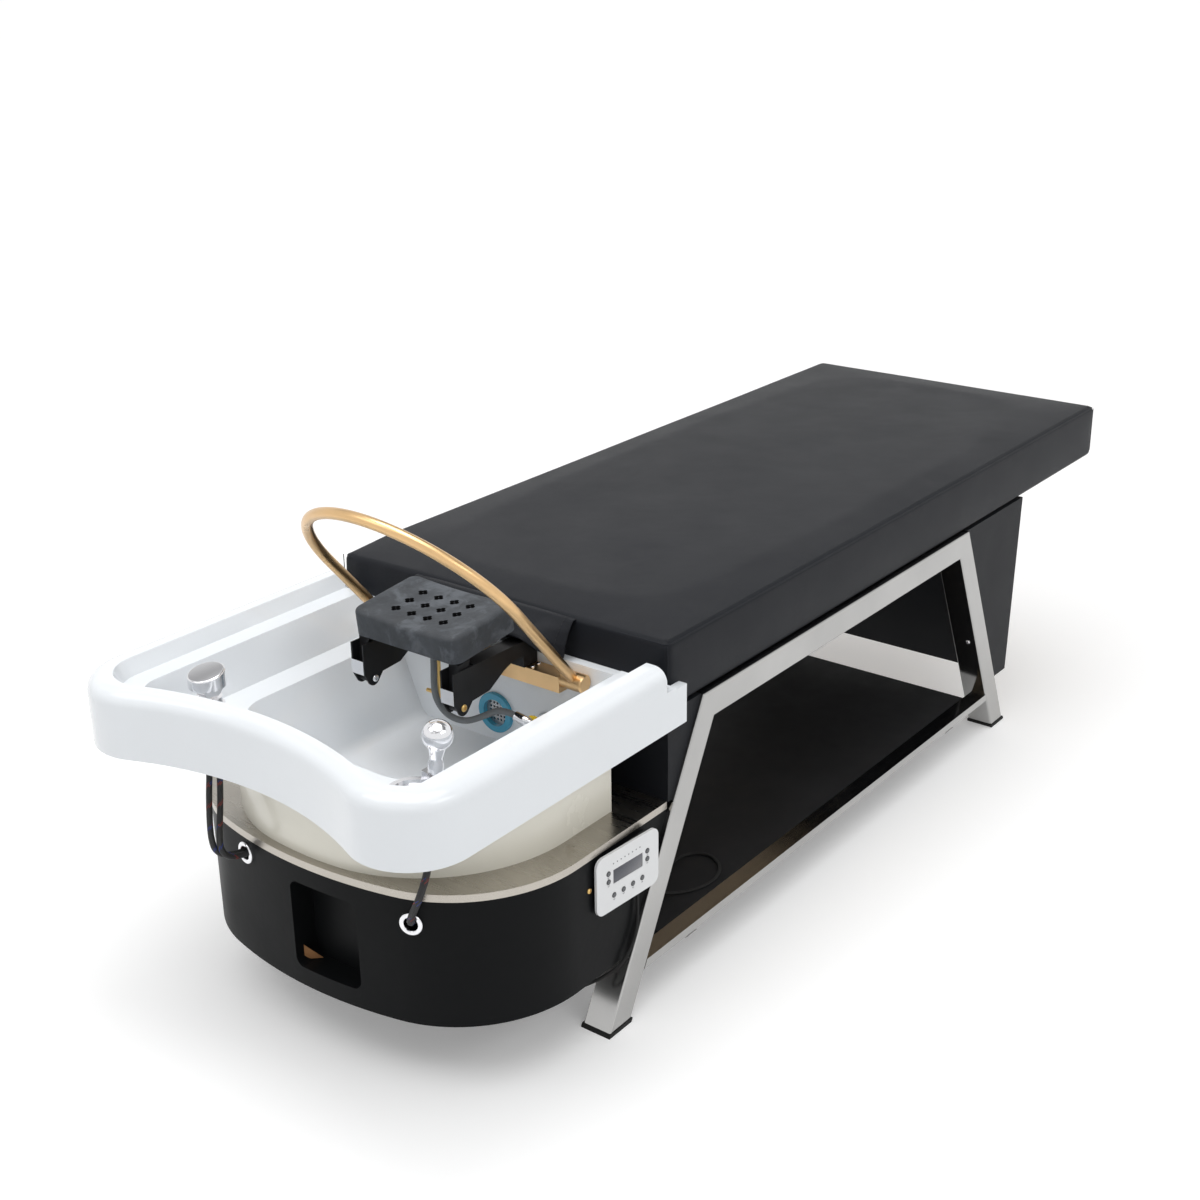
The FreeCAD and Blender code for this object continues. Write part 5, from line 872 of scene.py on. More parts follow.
# Pieces that keep the shape of the model, by finish.
FRAME_SKINS = {"steel_long": ("top_rail_near", "top_rail_far", "lower_rail_near", "lower_rail_far"),
               "steel_leg": ("front_leg_near", "front_leg_far", "rear_leg_near", "rear_leg_far"),
               "steel_cross": ("cross_tubes",), "tray_sheet": ("steel_tray",),
               "rubber_black": ("foot_caps",), "shelf_black": ("lower_shelf",), "plywood": ("seat_board",)}
BOX_SKINS = {"board_cover": ("head_box", "foot_box")}
TANK_SKINS = {"tank_satin": ("tank_shell",), "black_plastic": ("tank_base",), "chrome": ("hose_grommets",),
              "grey_pipe": ("waste_pipe",), "pump_paint": ("circulation_pump",),
              "mesh_sheet": ("heater_unit",)}
BASIN_SKINS = {"basin_gloss": ("basin",), "skirt_gloss": ("basin_skirt",)}
FITTING_SKINS = {"chrome": ("mixer_body", "mixer_cartridge", "mixer_lever", "shower_ring", "shower_head",
                            "shower_coupling", "feed_elbow"),
                 "blue_moulding": ("strainer_ring",), "mesh_sheet": ("strainer_mesh",)}
HEADREST_SKINS = {"black_paint": ("headrest_base", "headrest_arms"), "chrome": ("arm_clips", "feed_ferrule"),
                  "brass": ("valve_stem",)}
ARCH_SKINS = {"gold": ("arch_beam", "arch_hubs", "arch_tube")}
PANEL_SKINS = {"black_plastic": ("panel_housing",), "panel_white": ("panel_face",),
               "display_dark": ("panel_display",),
               "key_grey": tuple(f"button_{number}" for number in range(1, 9))}
# How round the edges become of the pieces that the model leaves sharp.
EDGES = {"lower_shelf": 0.002, "seat_board": 0.0012, "panel_display": 0.0004}


def make_skins(table):
    for finish, nodes in table.items():
        for node in nodes:
            skin(node, finish, EDGES.get(node, 0.0))


# Repeated details

def node_tree(name, inputs):
    """A geometry group with a geometry, the given inputs and a geometry output."""
    return group_tree(name, "GeometryNodeTree", [("Geometry", "Geometry", None), *inputs],
                      [("Geometry", "Geometry")])


def geometry(tree, kind, inputs=None, family="GeometryNode", **attributes):
    return add(tree, kind, inputs, family, **attributes)


def finish_tree(tree, start, end, instances):
    """Ends a tree: its instances become one mesh with the tree's material."""
    real = geometry(tree, "RealizeInstances", {"Geometry": instances})
    painted = geometry(tree, "SetMaterial", {"Geometry": real.outputs[0],
                                             "Material": start.outputs["Material"]})
    tree.links.new(painted.outputs[0], end.inputs["Geometry"])


def stitch_tree():
    """Stitches along a line of edges, each sunk at its ends."""
    tree, start, end, sockets = node_tree("Stitches", [
        ("Spacing", "Float", 0.0055), ("Length", "Float", 0.0042), ("Thickness", "Float", 0.0008),
        ("Material", "Material", None)])
    line = geometry(tree, "MeshToCurve", {"Mesh": start.outputs["Geometry"]})
    even = geometry(tree, "ResampleCurve", {"Curve": line.outputs[0], "Length": start.outputs["Spacing"]},
                    mode="LENGTH")
    tangent = geometry(tree, "InputTangent")
    turn = geometry(tree, "AlignRotationToVector", {"Vector": tangent.outputs[0]}, family="FunctionNode",
                    axis="X")
    thread = geometry(tree, "MeshUVSphere", {"Segments": 8, "Rings": 6, "Radius": 0.5})
    size = add(tree, "CombineXYZ", {"X": start.outputs["Length"], "Y": start.outputs["Thickness"],
                                    "Z": start.outputs["Thickness"]})
    threads = geometry(tree, "InstanceOnPoints", {
        "Points": even.outputs[0], "Instance": thread.outputs[0], "Rotation": turn.outputs[0],
        "Scale": size.outputs[0]})
    finish_tree(tree, start, end, threads.outputs[0])
    return tree, sockets


def fastener_tree():
    """A copy of one fastener on every point, facing along the point's own direction."""
    tree, start, end, sockets = node_tree("Fasteners", [
        ("Fastener", "Object", None), ("Turn", "Float", 0.6), ("Material", "Material", None)])
    facing = geometry(tree, "InputNamedAttribute", {"Name": "facing"}, data_type="FLOAT_VECTOR")
    turn = geometry(tree, "AlignRotationToVector", {"Vector": facing.outputs[0]}, family="FunctionNode",
                    axis="Z")
    angle = maths(tree, "MULTIPLY", geometry(tree, "InputIndex").outputs[0], start.outputs["Turn"])
    spin = add(tree, "CombineXYZ", {"Z": angle})
    whole = geometry(tree, "RotateRotation", {"Rotation": turn.outputs[0], "Rotate By": spin.outputs[0]},
                     family="FunctionNode", rotation_space="LOCAL")
    source = geometry(tree, "ObjectInfo", {"Object": start.outputs["Fastener"], "As Instance": True})
    copies = geometry(tree, "InstanceOnPoints", {
        "Points": start.outputs["Geometry"], "Instance": source.outputs["Geometry"],
        "Rotation": whole.outputs[0]})
    finish_tree(tree, start, end, copies.outputs[0])
    return tree, sockets


TREES = {}


def grown(item, tree_name, values, finish):
    """Runs one of the geometry trees on an object and keeps the mesh it makes."""
    if tree_name not in TREES:
        TREES[tree_name] = {"Stitches": stitch_tree, "Fasteners": fastener_tree}[tree_name]()
    tree, sockets = TREES[tree_name]
    modifier = item.modifiers.new(tree_name, "NODES")
    modifier.node_group = tree
    for title, value in {**values, "Material": finish_of(finish)}.items():
        modifier[sockets[title]] = value
    item.update_tag()
    bake_modifiers(item)
    shade(item, 40)
    return item


STITCH_SPACING = 0.0058
STITCH_THICK = 0.0009


def stitched(name, line):
    """A row of stitches along a line of points."""
    edges = [(step, step + 1) for step in range(len(line) - 1)]
    mesh = bpy.data.meshes.new(name)
    mesh.from_pydata([tuple(point) for point in line], edges, [])
    item = new_object(name, mesh)
    grown(item, "Stitches", {"Spacing": STITCH_SPACING, "Length": settings("upholstery").stitch,
                             "Thickness": STITCH_THICK}, "stitch_thread")
    return seat(item, "bed", "black_upholstery")


def screw_head(name, radius, height, shank):
    """A pan head with a cross recess, its seat at the origin and its shank below."""
    item = turned(name, [(0, -shank), (radius * 0.45, -shank), (radius * 0.5, -shank * 0.9),
                         (radius * 0.5, 0), (radius, 0), (radius, height * 0.35),
                         (radius * 0.93, height * 0.68), (radius * 0.74, height * 0.9),
                         (radius * 0.4, height), (0, height)], "chrome", spin=28)
    mesh = bmesh.new()
    for turn in (0, math.pi / 2):
        made = bmesh.ops.create_cube(mesh, size=1.0)
        bmesh.ops.scale(mesh, verts=made["verts"], vec=(radius * 1.15, radius * 0.22, height * 1.2))
        bmesh.ops.rotate(mesh, verts=made["verts"], matrix=Matrix.Rotation(turn, 3, "Z"))
        bmesh.ops.translate(mesh, verts=made["verts"], vec=(0, 0, height))
    cutter_mesh = bpy.data.meshes.new(f"{name}_cross")
    mesh.to_mesh(cutter_mesh)
    mesh.free()
    cutter = new_object(f"{name}_cross", cutter_mesh)
    cut = item.modifiers.new("Cross recess", "BOOLEAN")
    cut.operation = "DIFFERENCE"
    cut.solver = "EXACT"
    cut.use_self = True
    cut.object = cutter
    bake_modifiers(item)
    bpy.data.objects.remove(cutter)
    return shade(item, 30)


def set_out(name, places, source, turn, finish):
    """A copy of the source at each place, in the direction that goes with it, as one mesh."""
    mesh = bpy.data.meshes.new(name)
    mesh.from_pydata([place for place, _ in places], [], [])
    facing = mesh.attributes.new("facing", "FLOAT_VECTOR", "POINT")
    for index, (_, way) in enumerate(places):
        facing.data[index].vector = way
    item = new_object(name, mesh)
    grown(item, "Fasteners", {"Fastener": source, "Turn": turn}, finish)
    bpy.data.objects.remove(source)
    return item


def fasteners(name, places, radius, height, shank, finish, body, slot, *nodes):
    """Screws at the given points, each with the direction that it faces."""
    source = screw_head(f"{name}_source", radius, height, shank)
    return seat(set_out(name, places, source, 0.7, finish), body, slot, *nodes)


# Cushion and flap

# Where lines run across a rounded edge, as shares of its radius.
ROUND_SHARES = (0, 0.22, 0.45, 0.7, 1.0)


def rounded_box(low, high, radius, cuts):
    """A box of quads whose edges are rounded, with closer lines where it bends."""
    lines = []
    for axis in range(3):
        near = [low[axis] + radius * part for part in ROUND_SHARES]
        far = [high[axis] - radius * part for part in reversed(ROUND_SHARES)]
        inner = (near[-1], far[0])
        count = cuts[axis]
        middle = [inner[0] + (inner[1] - inner[0]) * step / count for step in range(1, count)]
        lines.append(near + middle + far)
    places = {}
    points = []
    faces = []

    def vertex(key):
        if key not in places:
            spot = Vector([lines[axis][key[axis]] for axis in range(3)])
            core = Vector([min(max(spot[axis], low[axis] + radius), high[axis] - radius)
                           for axis in range(3)])
            away = spot - core
            places[key] = len(points)
            points.append(core + away.normalized() * radius if away.length > 0 else spot)
        return places[key]

    last = [len(row) - 1 for row in lines]
    for axis in range(3):
        first, second = (axis + 1) % 3, (axis + 2) % 3
        for end in (0, last[axis]):
            for i in range(last[first]):
                for j in range(last[second]):
                    keys = []
                    for a, b in ((i, j), (i + 1, j), (i + 1, j + 1), (i, j + 1)):
                        key = [0, 0, 0]
                        key[axis], key[first], key[second] = end, a, b
                        keys.append(vertex(tuple(key)))
                    faces.append(keys if end else keys[::-1])
    return points, faces


def rounded_loop(low, high, radius, height, steps=8):
    """Points of a rounded rectangle at a height, all the way round."""
    loop = []
    for corner_x, corner_y, start in ((high[0] - radius, high[1] - radius, 0.0),
                                      (low[0] + radius, high[1] - radius, 0.5),
                                      (low[0] + radius, low[1] + radius, 1.0),
                                      (high[0] - radius, low[1] + radius, 1.5)):
        for step in range(steps + 1):
            turn = math.pi * (start + 0.5 * step / steps)
            loop.append(Vector((corner_x + radius * math.cos(turn), corner_y + radius * math.sin(turn),
                                height)))
    return loop


CUSHION_ROUND = 0.012
CUSHION_CUTS = (110, 46, 7)
# A place along the bed that parts its head half from its foot half.
MIDDLE = 0.2
# The cover starts this far inside the model's box, below and on top, and swells towards it.
COVER_LOW = 0.001
COVER_TOP = 0.003
# At the head end's far corner the cover gives way over this reach: outwards, in waves and downwards.
CORNER_REACH = (0.10, 0.16)
CORNER_OUT = 0.004
CORNER_WAVE = 0.005
CORNER_SAG = 0.006
TOP_WAVE = 0.0008
SIDE_WAVE = 0.0016
# How near the seam, in height, and the sides the cover is held while it swells.
HELD_HEIGHT = 0.0045
HELD_REACH = 0.012
WELT_STEP = 0.012
STITCH_INSET = 0.006
CORNER_CORD = 0.0014
CORNER_STEPS = 12
CLOTH = {"quality": 5, "mass": 0.4, "tension_stiffness": 40, "compression_stiffness": 25,
         "shear_stiffness": 10, "bending_stiffness": 2.0, "use_pressure": True,
         "uniform_pressure_force": 4.0, "vertex_group_mass": "Sewn"}
CLOTH_FRAMES = 20


def far_corner(point, low, high):
    """1 at the far corner of the head end, falling to 0 away from it."""
    return (max(0.0, 1 - abs(point.x - low.x) / CORNER_REACH[0])
            * max(0.0, 1 - abs(point.y - high.y) / CORNER_REACH[1]))


def swell(item, puff, pinned):
    """Blows the cover up over its foam by a cloth simulation and keeps the result."""
    rest = [vertex.co.copy() for vertex in item.data.vertices]
    group = item.vertex_groups.new(name="Sewn")
    group.add(pinned, 1.0, "REPLACE")
    cloth = item.modifiers.new("Cover", "CLOTH")
    for key, value in CLOTH.items():
        setattr(cloth.settings, key, value)
    cloth.settings.effector_weights.gravity = 0.0
    cloth.collision_settings.use_collision = False
    scene = bpy.context.scene
    cloth.point_cache.frame_start = 1
    cloth.point_cache.frame_end = CLOTH_FRAMES
    for step in range(1, CLOTH_FRAMES + 1):
        scene.frame_set(step)
    bake_modifiers(item)
    scene.frame_set(1)
    for vertex, start in zip(item.data.vertices, rest):
        moved = vertex.co - start
        if moved.length > puff:
            moved = moved.normalized() * puff
        vertex.co = start + moved
    item.data.update()
    return item


def make_cushion():
    """The long cushion: a foam block in a boxed cover that swells a little between its seams."""
    sizes = settings("upholstery")
    low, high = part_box("cushion")
    low = Vector((low.x, low.y, low.z + COVER_LOW))
    high = Vector((high.x, high.y, high.z - COVER_TOP))
    points, faces = rounded_box(low, high, CUSHION_ROUND, CUSHION_CUTS)
    seam = high.z - sizes.seam_drop
    for point in points:
        give = far_corner(point, low, high)
        upper = max(0.0, (point.z - low.z) / (high.z - low.z))
        wave = noise.noise(Vector((point.y * 26, point.z * 16, 3.1)))
        point.x += give * upper * (CORNER_WAVE * wave + CORNER_OUT)
        point.z -= give * upper * CORNER_SAG
        drift = noise.noise(Vector((point.x * 3.2, point.y * 3.7, 1.7)))
        if point.z > high.z - 0.002:
            point.z += TOP_WAVE * drift
        elif low.z + 0.02 < point.z < seam - 0.01:
            side = SIDE_WAVE * noise.noise(Vector((point.x * 6.0, point.y * 6.0, point.z * 9.0)))
            if abs(point.y) > high.y - 0.003:
                point.y += side
    item = mesh_object("cushion_cover", points, faces, "cover")
    pinned = [vertex.index for vertex in item.data.vertices
              if abs(vertex.co.z - seam) < HELD_HEIGHT and (abs(vertex.co.y) > high.y - HELD_REACH
                                                            or vertex.co.x < low.x + HELD_REACH
                                                            or vertex.co.x > high.x - HELD_REACH)
              or vertex.co.z < low.z + HELD_REACH]
    swell(item, sizes.puff, pinned)
    fine = item.modifiers.new("Smooth", "SUBSURF")
    fine.levels = fine.render_levels = 1
    bake_modifiers(item)
    item.data.shade_smooth()
    seat(item, "bed", "black_upholstery", "cushion")

    rise = seam - (high.z - CUSHION_ROUND)
    reach = math.sqrt(CUSHION_ROUND ** 2 - rise ** 2)
    inset = CUSHION_ROUND - reach
    loop = rounded_loop((low.x + inset, low.y + inset), (high.x - inset, high.y - inset), reach, seam)
    for point in loop:
        give = far_corner(point, low, high)
        point.x += give * CORNER_OUT
        point.z -= give * CORNER_SAG
    even = []
    for before, after in zip(loop, loop[1:] + loop[:1]):
        count = max(1, int((after - before).length / WELT_STEP))
        even += [before.lerp(after, step / count) for step in range(count)]
    welt = hose_mesh("cushion_welt", even + even[:1], sizes.piping, "welt", sides=8)
    seat(welt, "bed", "black_upholstery")
    inner = [Vector((point.x - math.copysign(STITCH_INSET, point.x - MIDDLE),
                     point.y - math.copysign(STITCH_INSET, point.y), high.z + 0.0004)) for point in even]
    inner = [point for point in inner if low.x + 0.008 < point.x < high.x - 0.008]
    near = [point for point in inner if point.y < 0 and abs(point.y) > high.y - 0.012]
    stitched("cushion_stitches_near", sorted(near, key=lambda point: point.x))
    for name, x in (("head", low.x), ("foot", high.x)):
        for side in (-1, 1):
            corner = Vector((x, side * high.y, 0))
            inwards = Vector((math.copysign(1, MIDDLE - x), -side, 0))
            spot = corner + inwards * CUSHION_ROUND * 0.29 - inwards * 0.0006
            line = [Vector((spot.x, spot.y, low.z + 0.012 + (seam - low.z - 0.014) * step / CORNER_STEPS))
                    for step in range(CORNER_STEPS + 1)]
            cord = hose_mesh(f"cushion_corner_{name}_{'far' if side > 0 else 'near'}", line, CORNER_CORD,
                             "welt", sides=8)
            seat(cord, "bed", "black_upholstery")


FLAP_HALF = 0.1594
FLAP_ROWS, FLAP_COLUMNS = 22, 60
FLAP_THICK = 0.0014
# The rays that find the flap's drape: their number, how far apart they start and how far they reach.
FLAP_RAYS, FLAP_RAY_STEP, FLAP_RAY_REACH = 260, 0.0006, 0.3
# Where the first ray starts, along the bed and in height.
FLAP_RAY_START = (-0.56, 0.66)
# How far the sheet stands off the model's surface, how deep its two sides wave, and how far the
# stitches stand off the sheet.
SHEET_GAP = 0.0002
SIDE_RIPPLE = 0.0006
THREAD_RISE = 0.0006
# How many columns of the mesh lie outside the stitches.
HEM = 3


def flap_point(column, row):
    """The number of a point of the flap's mesh."""
    return column * (FLAP_ROWS + 1) + row


def make_flap():
    """The flap sewn to the cushion's head end, draped over the gap behind the headrest."""
    graph = bpy.context.evaluated_depsgraph_get()
    surface = bvhtree.BVHTree.FromObject(frame["nodes"]["neck_flap"], graph)
    way = Vector((1, 0, -1)).normalized()
    along = Vector((-1, 0, -1)).normalized()
    points = []
    for column in range(FLAP_COLUMNS + 1):
        y = -FLAP_HALF + 2 * FLAP_HALF * column / FLAP_COLUMNS
        drape = []
        for step in range(FLAP_RAYS):
            start = Vector((FLAP_RAY_START[0], y, FLAP_RAY_START[1])) + along * (step * FLAP_RAY_STEP)
            hit = surface.ray_cast(start, way, FLAP_RAY_REACH)[0]
            if hit is not None:
                drape.append(hit - way * SHEET_GAP)
        for row in range(FLAP_ROWS + 1):
            place = (len(drape) - 1) * row / FLAP_ROWS
            first = int(place)
            second = min(first + 1, len(drape) - 1)
            points.append(drape[first].lerp(drape[second], place - first))
    faces = [(flap_point(column, row), flap_point(column + 1, row), flap_point(column + 1, row + 1),
              flap_point(column, row + 1)) for column in range(FLAP_COLUMNS) for row in range(FLAP_ROWS)]
    for side in (0, FLAP_COLUMNS):
        for row in range(FLAP_ROWS + 1):
            points[flap_point(side, row)].z += SIDE_RIPPLE * math.sin(row * 0.9)
    item = mesh_object("neck_flap_sheet", points, faces, "cover")
    hems = {"near": [flap_point(HEM, row) for row in range(1, FLAP_ROWS - 1)],
            "far": [flap_point(FLAP_COLUMNS - HEM, row) for row in range(1, FLAP_ROWS - 1)],
            "edge": [flap_point(column, FLAP_ROWS - 2) for column in range(HEM, FLAP_COLUMNS - 2)]}
    smooth = item.modifiers.new("Soften", "SMOOTH")
    smooth.factor = 0.4
    smooth.iterations = 3
    thick = item.modifiers.new("Thickness", "SOLIDIFY")
    thick.thickness = FLAP_THICK
    thick.offset = -1 if item.data.polygons[0].normal.z > 0 else 1
    fine = item.modifiers.new("Finer", "SUBSURF")
    fine.levels = fine.render_levels = 1
    bake_modifiers(item)
    item.data.shade_smooth()
    seat(item, "bed", "black_upholstery", "neck_flap")
    threads = [stitched(f"neck_flap_stitches_{name}", [points[number] - way * THREAD_RISE for number in hem])
               for name, hem in hems.items()]


# Fittings

TANK_SCREW = ((-0.6732, -0.3220, 0.2611), (0, -1, 0))
LEG_SCREW = ((0.5182, -0.3134, 0.2159), (-0.909, 0, -0.418))


def flat_piece(name, points, thickness, finish):
    """A flat plate with the given corners, thick to both sides."""
    item = mesh_object(name, points, [tuple(range(len(points)))], finish, smooth=False)
    thick = item.modifiers.new("Thickness", "SOLIDIFY")
    thick.thickness = thickness
    thick.offset = 0
    bake_modifiers(item)
    return weld(item)


def make_tank():
    """The tank, its grommets and fittings, and the board that shows in its recess."""
    make_skins(TANK_SKINS)
    board = flat_piece("recess_board", [(-0.9040, 0.0150, 0.1650), (-0.9040, 0.0150, 0.1412),
                                        (-0.8860, -0.0040, 0.1412)], 0.0016, "bare_board")
    seat(board, "bed", "black_shell")
    fasteners("tank_screw", [TANK_SCREW], 0.0042, 0.0026, 0.003, "brass", "bed", "black_shell")
    fasteners("leg_screw", [LEG_SCREW], 0.0040, 0.0024, 0.003, "chrome", "bed", "stainless_steel")


def make_fittings():
    """The mixer, the hand shower, the strainer and the headrest's water pipe."""
    make_skins(FITTING_SKINS)
    tape = turned("elbow_tape", [(0.0090, -0.0050), (0.0122, -0.0048), (0.0128, -0.0030), (0.0108, -0.0010),
                                 (0.0116, 0.0012), (0.0106, 0.0030), (0.0112, 0.0048), (0.0090, 0.0052),
                                 (0.0070, 0.0050), (0.0070, -0.0048), (0.0090, -0.0050)], "yellow_tape",
                  spin=40, smooth=60)
    for vertex in tape.data.vertices:
        turned_by = math.atan2(vertex.co.y, vertex.co.x)
        bulge = 1 + 0.035 * math.sin(turned_by * 5)
        vertex.co.x *= bulge
        vertex.co.y *= bulge
        vertex.co.z += 0.0008 * math.sin(turned_by * 3)
    way = Vector((-0.78, -0.10, 0.62)).to_track_quat("Z", "Y").to_matrix().to_4x4()
    placed(tape, Matrix.Translation((-0.5500, -0.1203, 0.4124)) @ way)
    seat(tape, "bed", "chrome")
    flange = turned("elbow_flange", [(0.0100, 0.0), (0.0200, 0.0), (0.0206, 0.0010), (0.0200, 0.0030),
                                     (0.0150, 0.0042), (0.0130, 0.0060), (0.0100, 0.0064), (0.0100, 0.0)],
                    "mesh_sheet", spin=40, smooth=40)
    turn = Matrix.Rotation(math.radians(-90), 4, "Y")
    placed(flange, Matrix.Translation((-0.5085, -0.1170, 0.3920)) @ turn)
    seat(flange, "bed", "chrome")


# Places and directions of the headrest's screws and of the bolts that hold its bracket.
ARM_SCREW_NEAR = [((-0.6725, -0.1012, 0.4800), (0, -1, 0))]
ARM_SCREWS_FAR = [((-0.6725, 0.0735, 0.4800), (0, -1, 0)), ((-0.6725, 0.1012, 0.4800), (0, 1, 0))]
BRACKET_BOLTS = [((x, y, 0.4930), (0, 0, 1)) for x in (-0.5280, -0.5140) for y in (-0.1082, 0.1082)]


def make_headrest():
    """The headrest: its foam pad with the drain holes, its arms, clips, screws and valve."""
    make_skins(HEADREST_SKINS)
    pad = shade(copy_of("headrest_pad", "headrest_foam", "foam_skin"), 40)
    # The walls of the drain holes get a near-black painted shade in place of the foam's colour.
    pad.data.materials.append(finish_of("hole_dark"))
    low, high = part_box("headrest_pad")
    for face in pad.data.polygons:
        middle = face.center
        inside = low.x + 0.02 < middle.x < high.x - 0.02 and low.y + 0.02 < middle.y < high.y - 0.02
        if inside and abs(face.normal.z) < 0.6:
            face.material_index = 1
    seat(pad, "headrest", "foam_rubber", "headrest_pad")
    body = BODY_OF["bracket_screws"]
    fasteners("arm_screw_near", ARM_SCREW_NEAR, 0.0055, 0.0026, 0.0262, "brass", body, "chrome",
              "bracket_screws")
    fasteners("arm_screw_far", ARM_SCREWS_FAR, 0.0055, 0.0026, 0.013, "chrome", body, "chrome")
    fasteners("bracket_bolts", BRACKET_BOLTS, 0.0035, 0.0025, 0.0005, "chrome", body, "chrome")


PANEL_TURN = Matrix.Translation((-0.59934, -0.33483, 0.26)) @ Matrix.Rotation(math.radians(-4), 4, "Z")
# Places of the keys from the panel's middle, to the right and up, in millimetres.
KEY_PLACES = [(-42, 16), (-42, 3), (42, 16), (42, 3), (-30.6, -23), (-10.2, -23), (10.2, -23), (30.6, -23)]


def on_panel(right, up, out):
    """A point on the panel's face, in millimetres from its middle."""
    return PANEL_TURN @ Vector((right * MM, -out * MM, up * MM))


# How deep the lamps and marks sit in the face, in millimetres.
MARK_SUNK = 0.05
# Each mark under a key: how far below the key's middle and how wide, in millimetres.
MARKS = ((-6.6, 4.4), (-7.9, 2.8))
LAMPS = 8


def front_of(node):
    """How far a node's front stands out from the panel's own plane, in metres."""
    turn_back = PANEL_TURN.inverted()
    return -min((turn_back @ vertex.co).y for vertex in frame["nodes"][node].data.vertices)


def make_panel():
    """The control panel with its keys, display, indicator lamps and plain marks."""
    make_skins(PANEL_SKINS)
    level = front_of("panel_face") / MM - MARK_SUNK
    facing = tuple(PANEL_TURN.to_3x3() @ Vector((0, -1, 0)))
    lamps = [(tuple(on_panel(-31 + 57 * step / 7, 28 + step / 7, level)), facing) for step in range(LAMPS)]
    source = turned("lamp_source", [(0, -0.0003), (0.0011, -0.0003), (0.0011, 0.0001), (0.0008, 0.0004),
                                    (0, 0.0005)], "printed_mark", spin=16)
    seat(set_out("panel_lamps", lamps, source, 0.0, "printed_mark"), "bed", "white_panel")
    marks = []
    for number, (right, up) in enumerate(KEY_PLACES, 1):
        for row, wide in MARKS:
            shape = [on_panel(right + side * wide / 2, up + row + rise, level)
                     for side, rise in ((-1, 0), (1, 0), (1, 0.5), (-1, 0.5))]
            marks.append(flat_piece(f"mark_{number}", shape, 0.0003, "printed_mark"))
        low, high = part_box(f"button_{number}")
        middle = (low + high) / 2
        local = PANEL_TURN.inverted() @ middle
        out = front_of(f"button_{number}") / MM
        ring = turned(f"key_ring_{number}", [(0.0014, -0.0002), (0.0020, -0.0002), (0.0020, 0.00012),
                                             (0.0014, 0.00012), (0.0014, -0.0002)], "lamp_dot", spin=24)
        to_face = PANEL_TURN @ Matrix.Translation((local.x, -out * MM, local.z)) @ Matrix.Rotation(
            math.radians(90), 4, "X")
        placed(ring, to_face)
        seat(ring, f"key_{number}", "button_plastic")
    seat(joined("panel_marks", marks), "bed", "white_panel")


# Operators

class WashBedFinishes(bpy.types.Operator):
    """Make the materials of the bed"""
    bl_idname = "washbed.finishes"
    bl_label = "Finishes"

    def execute(self, context):
        make_materials()
        return {"FINISHED"}


class WashBedFrame(bpy.types.Operator):
    """Make the tube frame, its tray, shelf and feet"""
    bl_idname = "washbed.frame"
    bl_label = "Frame"

    def execute(self, context):
        make_skins(FRAME_SKINS)
        return {"FINISHED"}


class WashBedBoxes(bpy.types.Operator):
    """Make the two covered boxes under the cushion"""
    bl_idname = "washbed.boxes"
    bl_label = "Boxes"

    def execute(self, context):
        make_skins(BOX_SKINS)
        return {"FINISHED"}


class WashBedCushion(bpy.types.Operator):
    """Make the cushion with its cover, seams and stitches"""
    bl_idname = "washbed.cushion"
    bl_label = "Cushion"

    def execute(self, context):
        make_cushion()
        return {"FINISHED"}


class WashBedFlap(bpy.types.Operator):
    """Make the flap that hangs over the basin's rear rim"""
    bl_idname = "washbed.flap"
    bl_label = "Neck flap"

    def execute(self, context):
        make_flap()
        return {"FINISHED"}


class WashBedBasin(bpy.types.Operator):
    """Make the basin and the wall under it"""
    bl_idname = "washbed.basin"
    bl_label = "Basin"

    def execute(self, context):
        make_skins(BASIN_SKINS)
        return {"FINISHED"}


class WashBedTank(bpy.types.Operator):
    """Make the tank with its grommets, pump and heater"""
    bl_idname = "washbed.tank"
    bl_label = "Tank"

    def execute(self, context):
        make_tank()
        return {"FINISHED"}


class WashBedFittings(bpy.types.Operator):
    """Make the mixer, the hand shower and the strainer"""
    bl_idname = "washbed.fittings"
    bl_label = "Fittings"

    def execute(self, context):
        make_fittings()
        return {"FINISHED"}


class WashBedHeadrest(bpy.types.Operator):
    """Make the headrest with its arms and valve"""
    bl_idname = "washbed.headrest"
    bl_label = "Headrest"

    def execute(self, context):
        make_headrest()
        return {"FINISHED"}


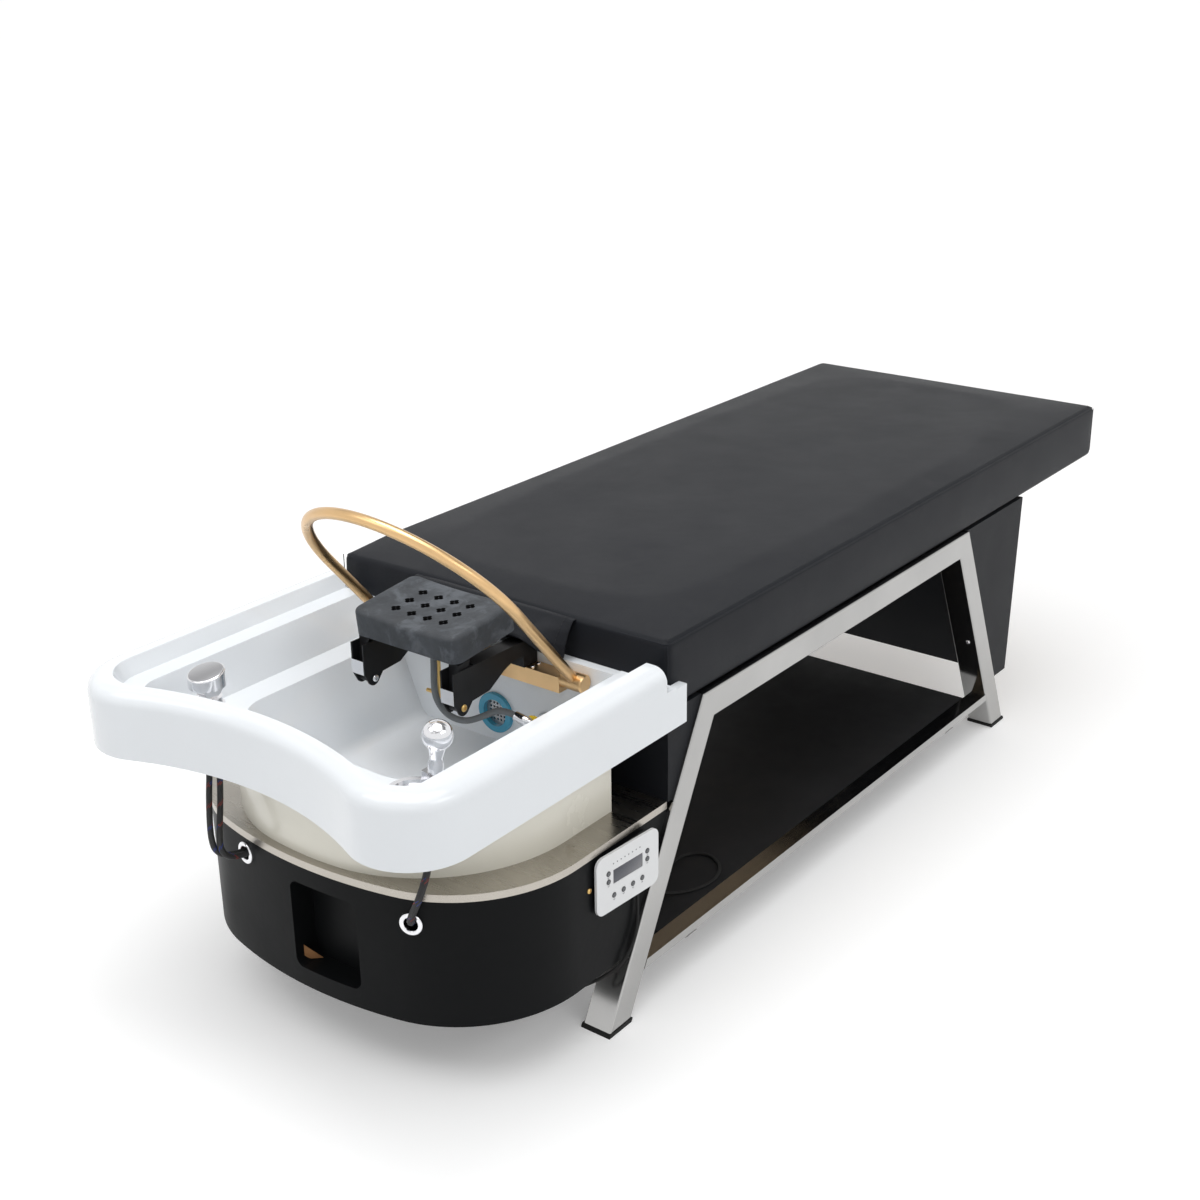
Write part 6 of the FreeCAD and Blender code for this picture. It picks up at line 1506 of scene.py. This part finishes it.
class WashBedArch(bpy.types.Operator):
    """Make the spray arch and its beam"""
    bl_idname = "washbed.arch"
    bl_label = "Arch"

    def execute(self, context):
        make_skins(ARCH_SKINS)
        return {"FINISHED"}


class WashBedPanel(bpy.types.Operator):
    """Make the control panel with its keys and marks"""
    bl_idname = "washbed.panel"
    bl_label = "Control panel"

    def execute(self, context):
        make_panel()
        return {"FINISHED"}


class WashBedHoseRuns(bpy.types.Operator):
    """Make the hoses and cables"""
    bl_idname = "washbed.hose_runs"
    bl_label = "Hoses and cables"

    def execute(self, context):
        make_hoses()
        return {"FINISHED"}


class WashBedSetStage(bpy.types.Operator):
    """Make the camera, the light and the floor"""
    bl_idname = "washbed.set_stage"
    bl_label = "Stage"

    def execute(self, context):
        make_camera()
        make_world()
        make_lights()
        make_floor()
        return {"FINISHED"}


OPERATORS = (WashBedFinishes, WashBedSetStage, WashBedHoseRuns, WashBedFrame, WashBedBoxes, WashBedCushion,
             WashBedFlap, WashBedBasin, WashBedTank, WashBedFittings, WashBedHeadrest, WashBedArch,
             WashBedPanel)


class VIEW3D_PT_wash_bed(bpy.types.Panel):
    """The sizes, colours and pieces of the hair washing bed"""
    bl_idname = "VIEW3D_PT_wash_bed"
    bl_label = "Hair Washing Bed"
    bl_space_type = "VIEW_3D"
    bl_region_type = "UI"
    bl_category = "Wash Bed"

    def draw(self, context):
        for name, group in GROUPS.items():
            box = self.layout.box()
            box.label(text=name.title())
            for field in group.__annotations__:
                box.prop(settings(name), field)
        for operator in OPERATORS:
            self.layout.operator(operator.bl_idname, text=operator.bl_label)


CLASSES = (*GROUPS.values(), *OPERATORS, VIEW3D_PT_wash_bed)


def register():
    for item in CLASSES:
        bpy.utils.register_class(item)
    for name, group in GROUPS.items():
        setattr(bpy.types.Scene, f"wash_bed_{name}", PointerProperty(type=group))


def unregister():
    for name in GROUPS:
        delattr(bpy.types.Scene, f"wash_bed_{name}")
    for item in reversed(CLASSES):
        bpy.utils.unregister_class(item)


def main():
    register()
    for operator in OPERATORS:
        family, name = operator.bl_idname.split(".")
        getattr(getattr(bpy.ops, family), name)()


if __name__ == "__main__":
    main()
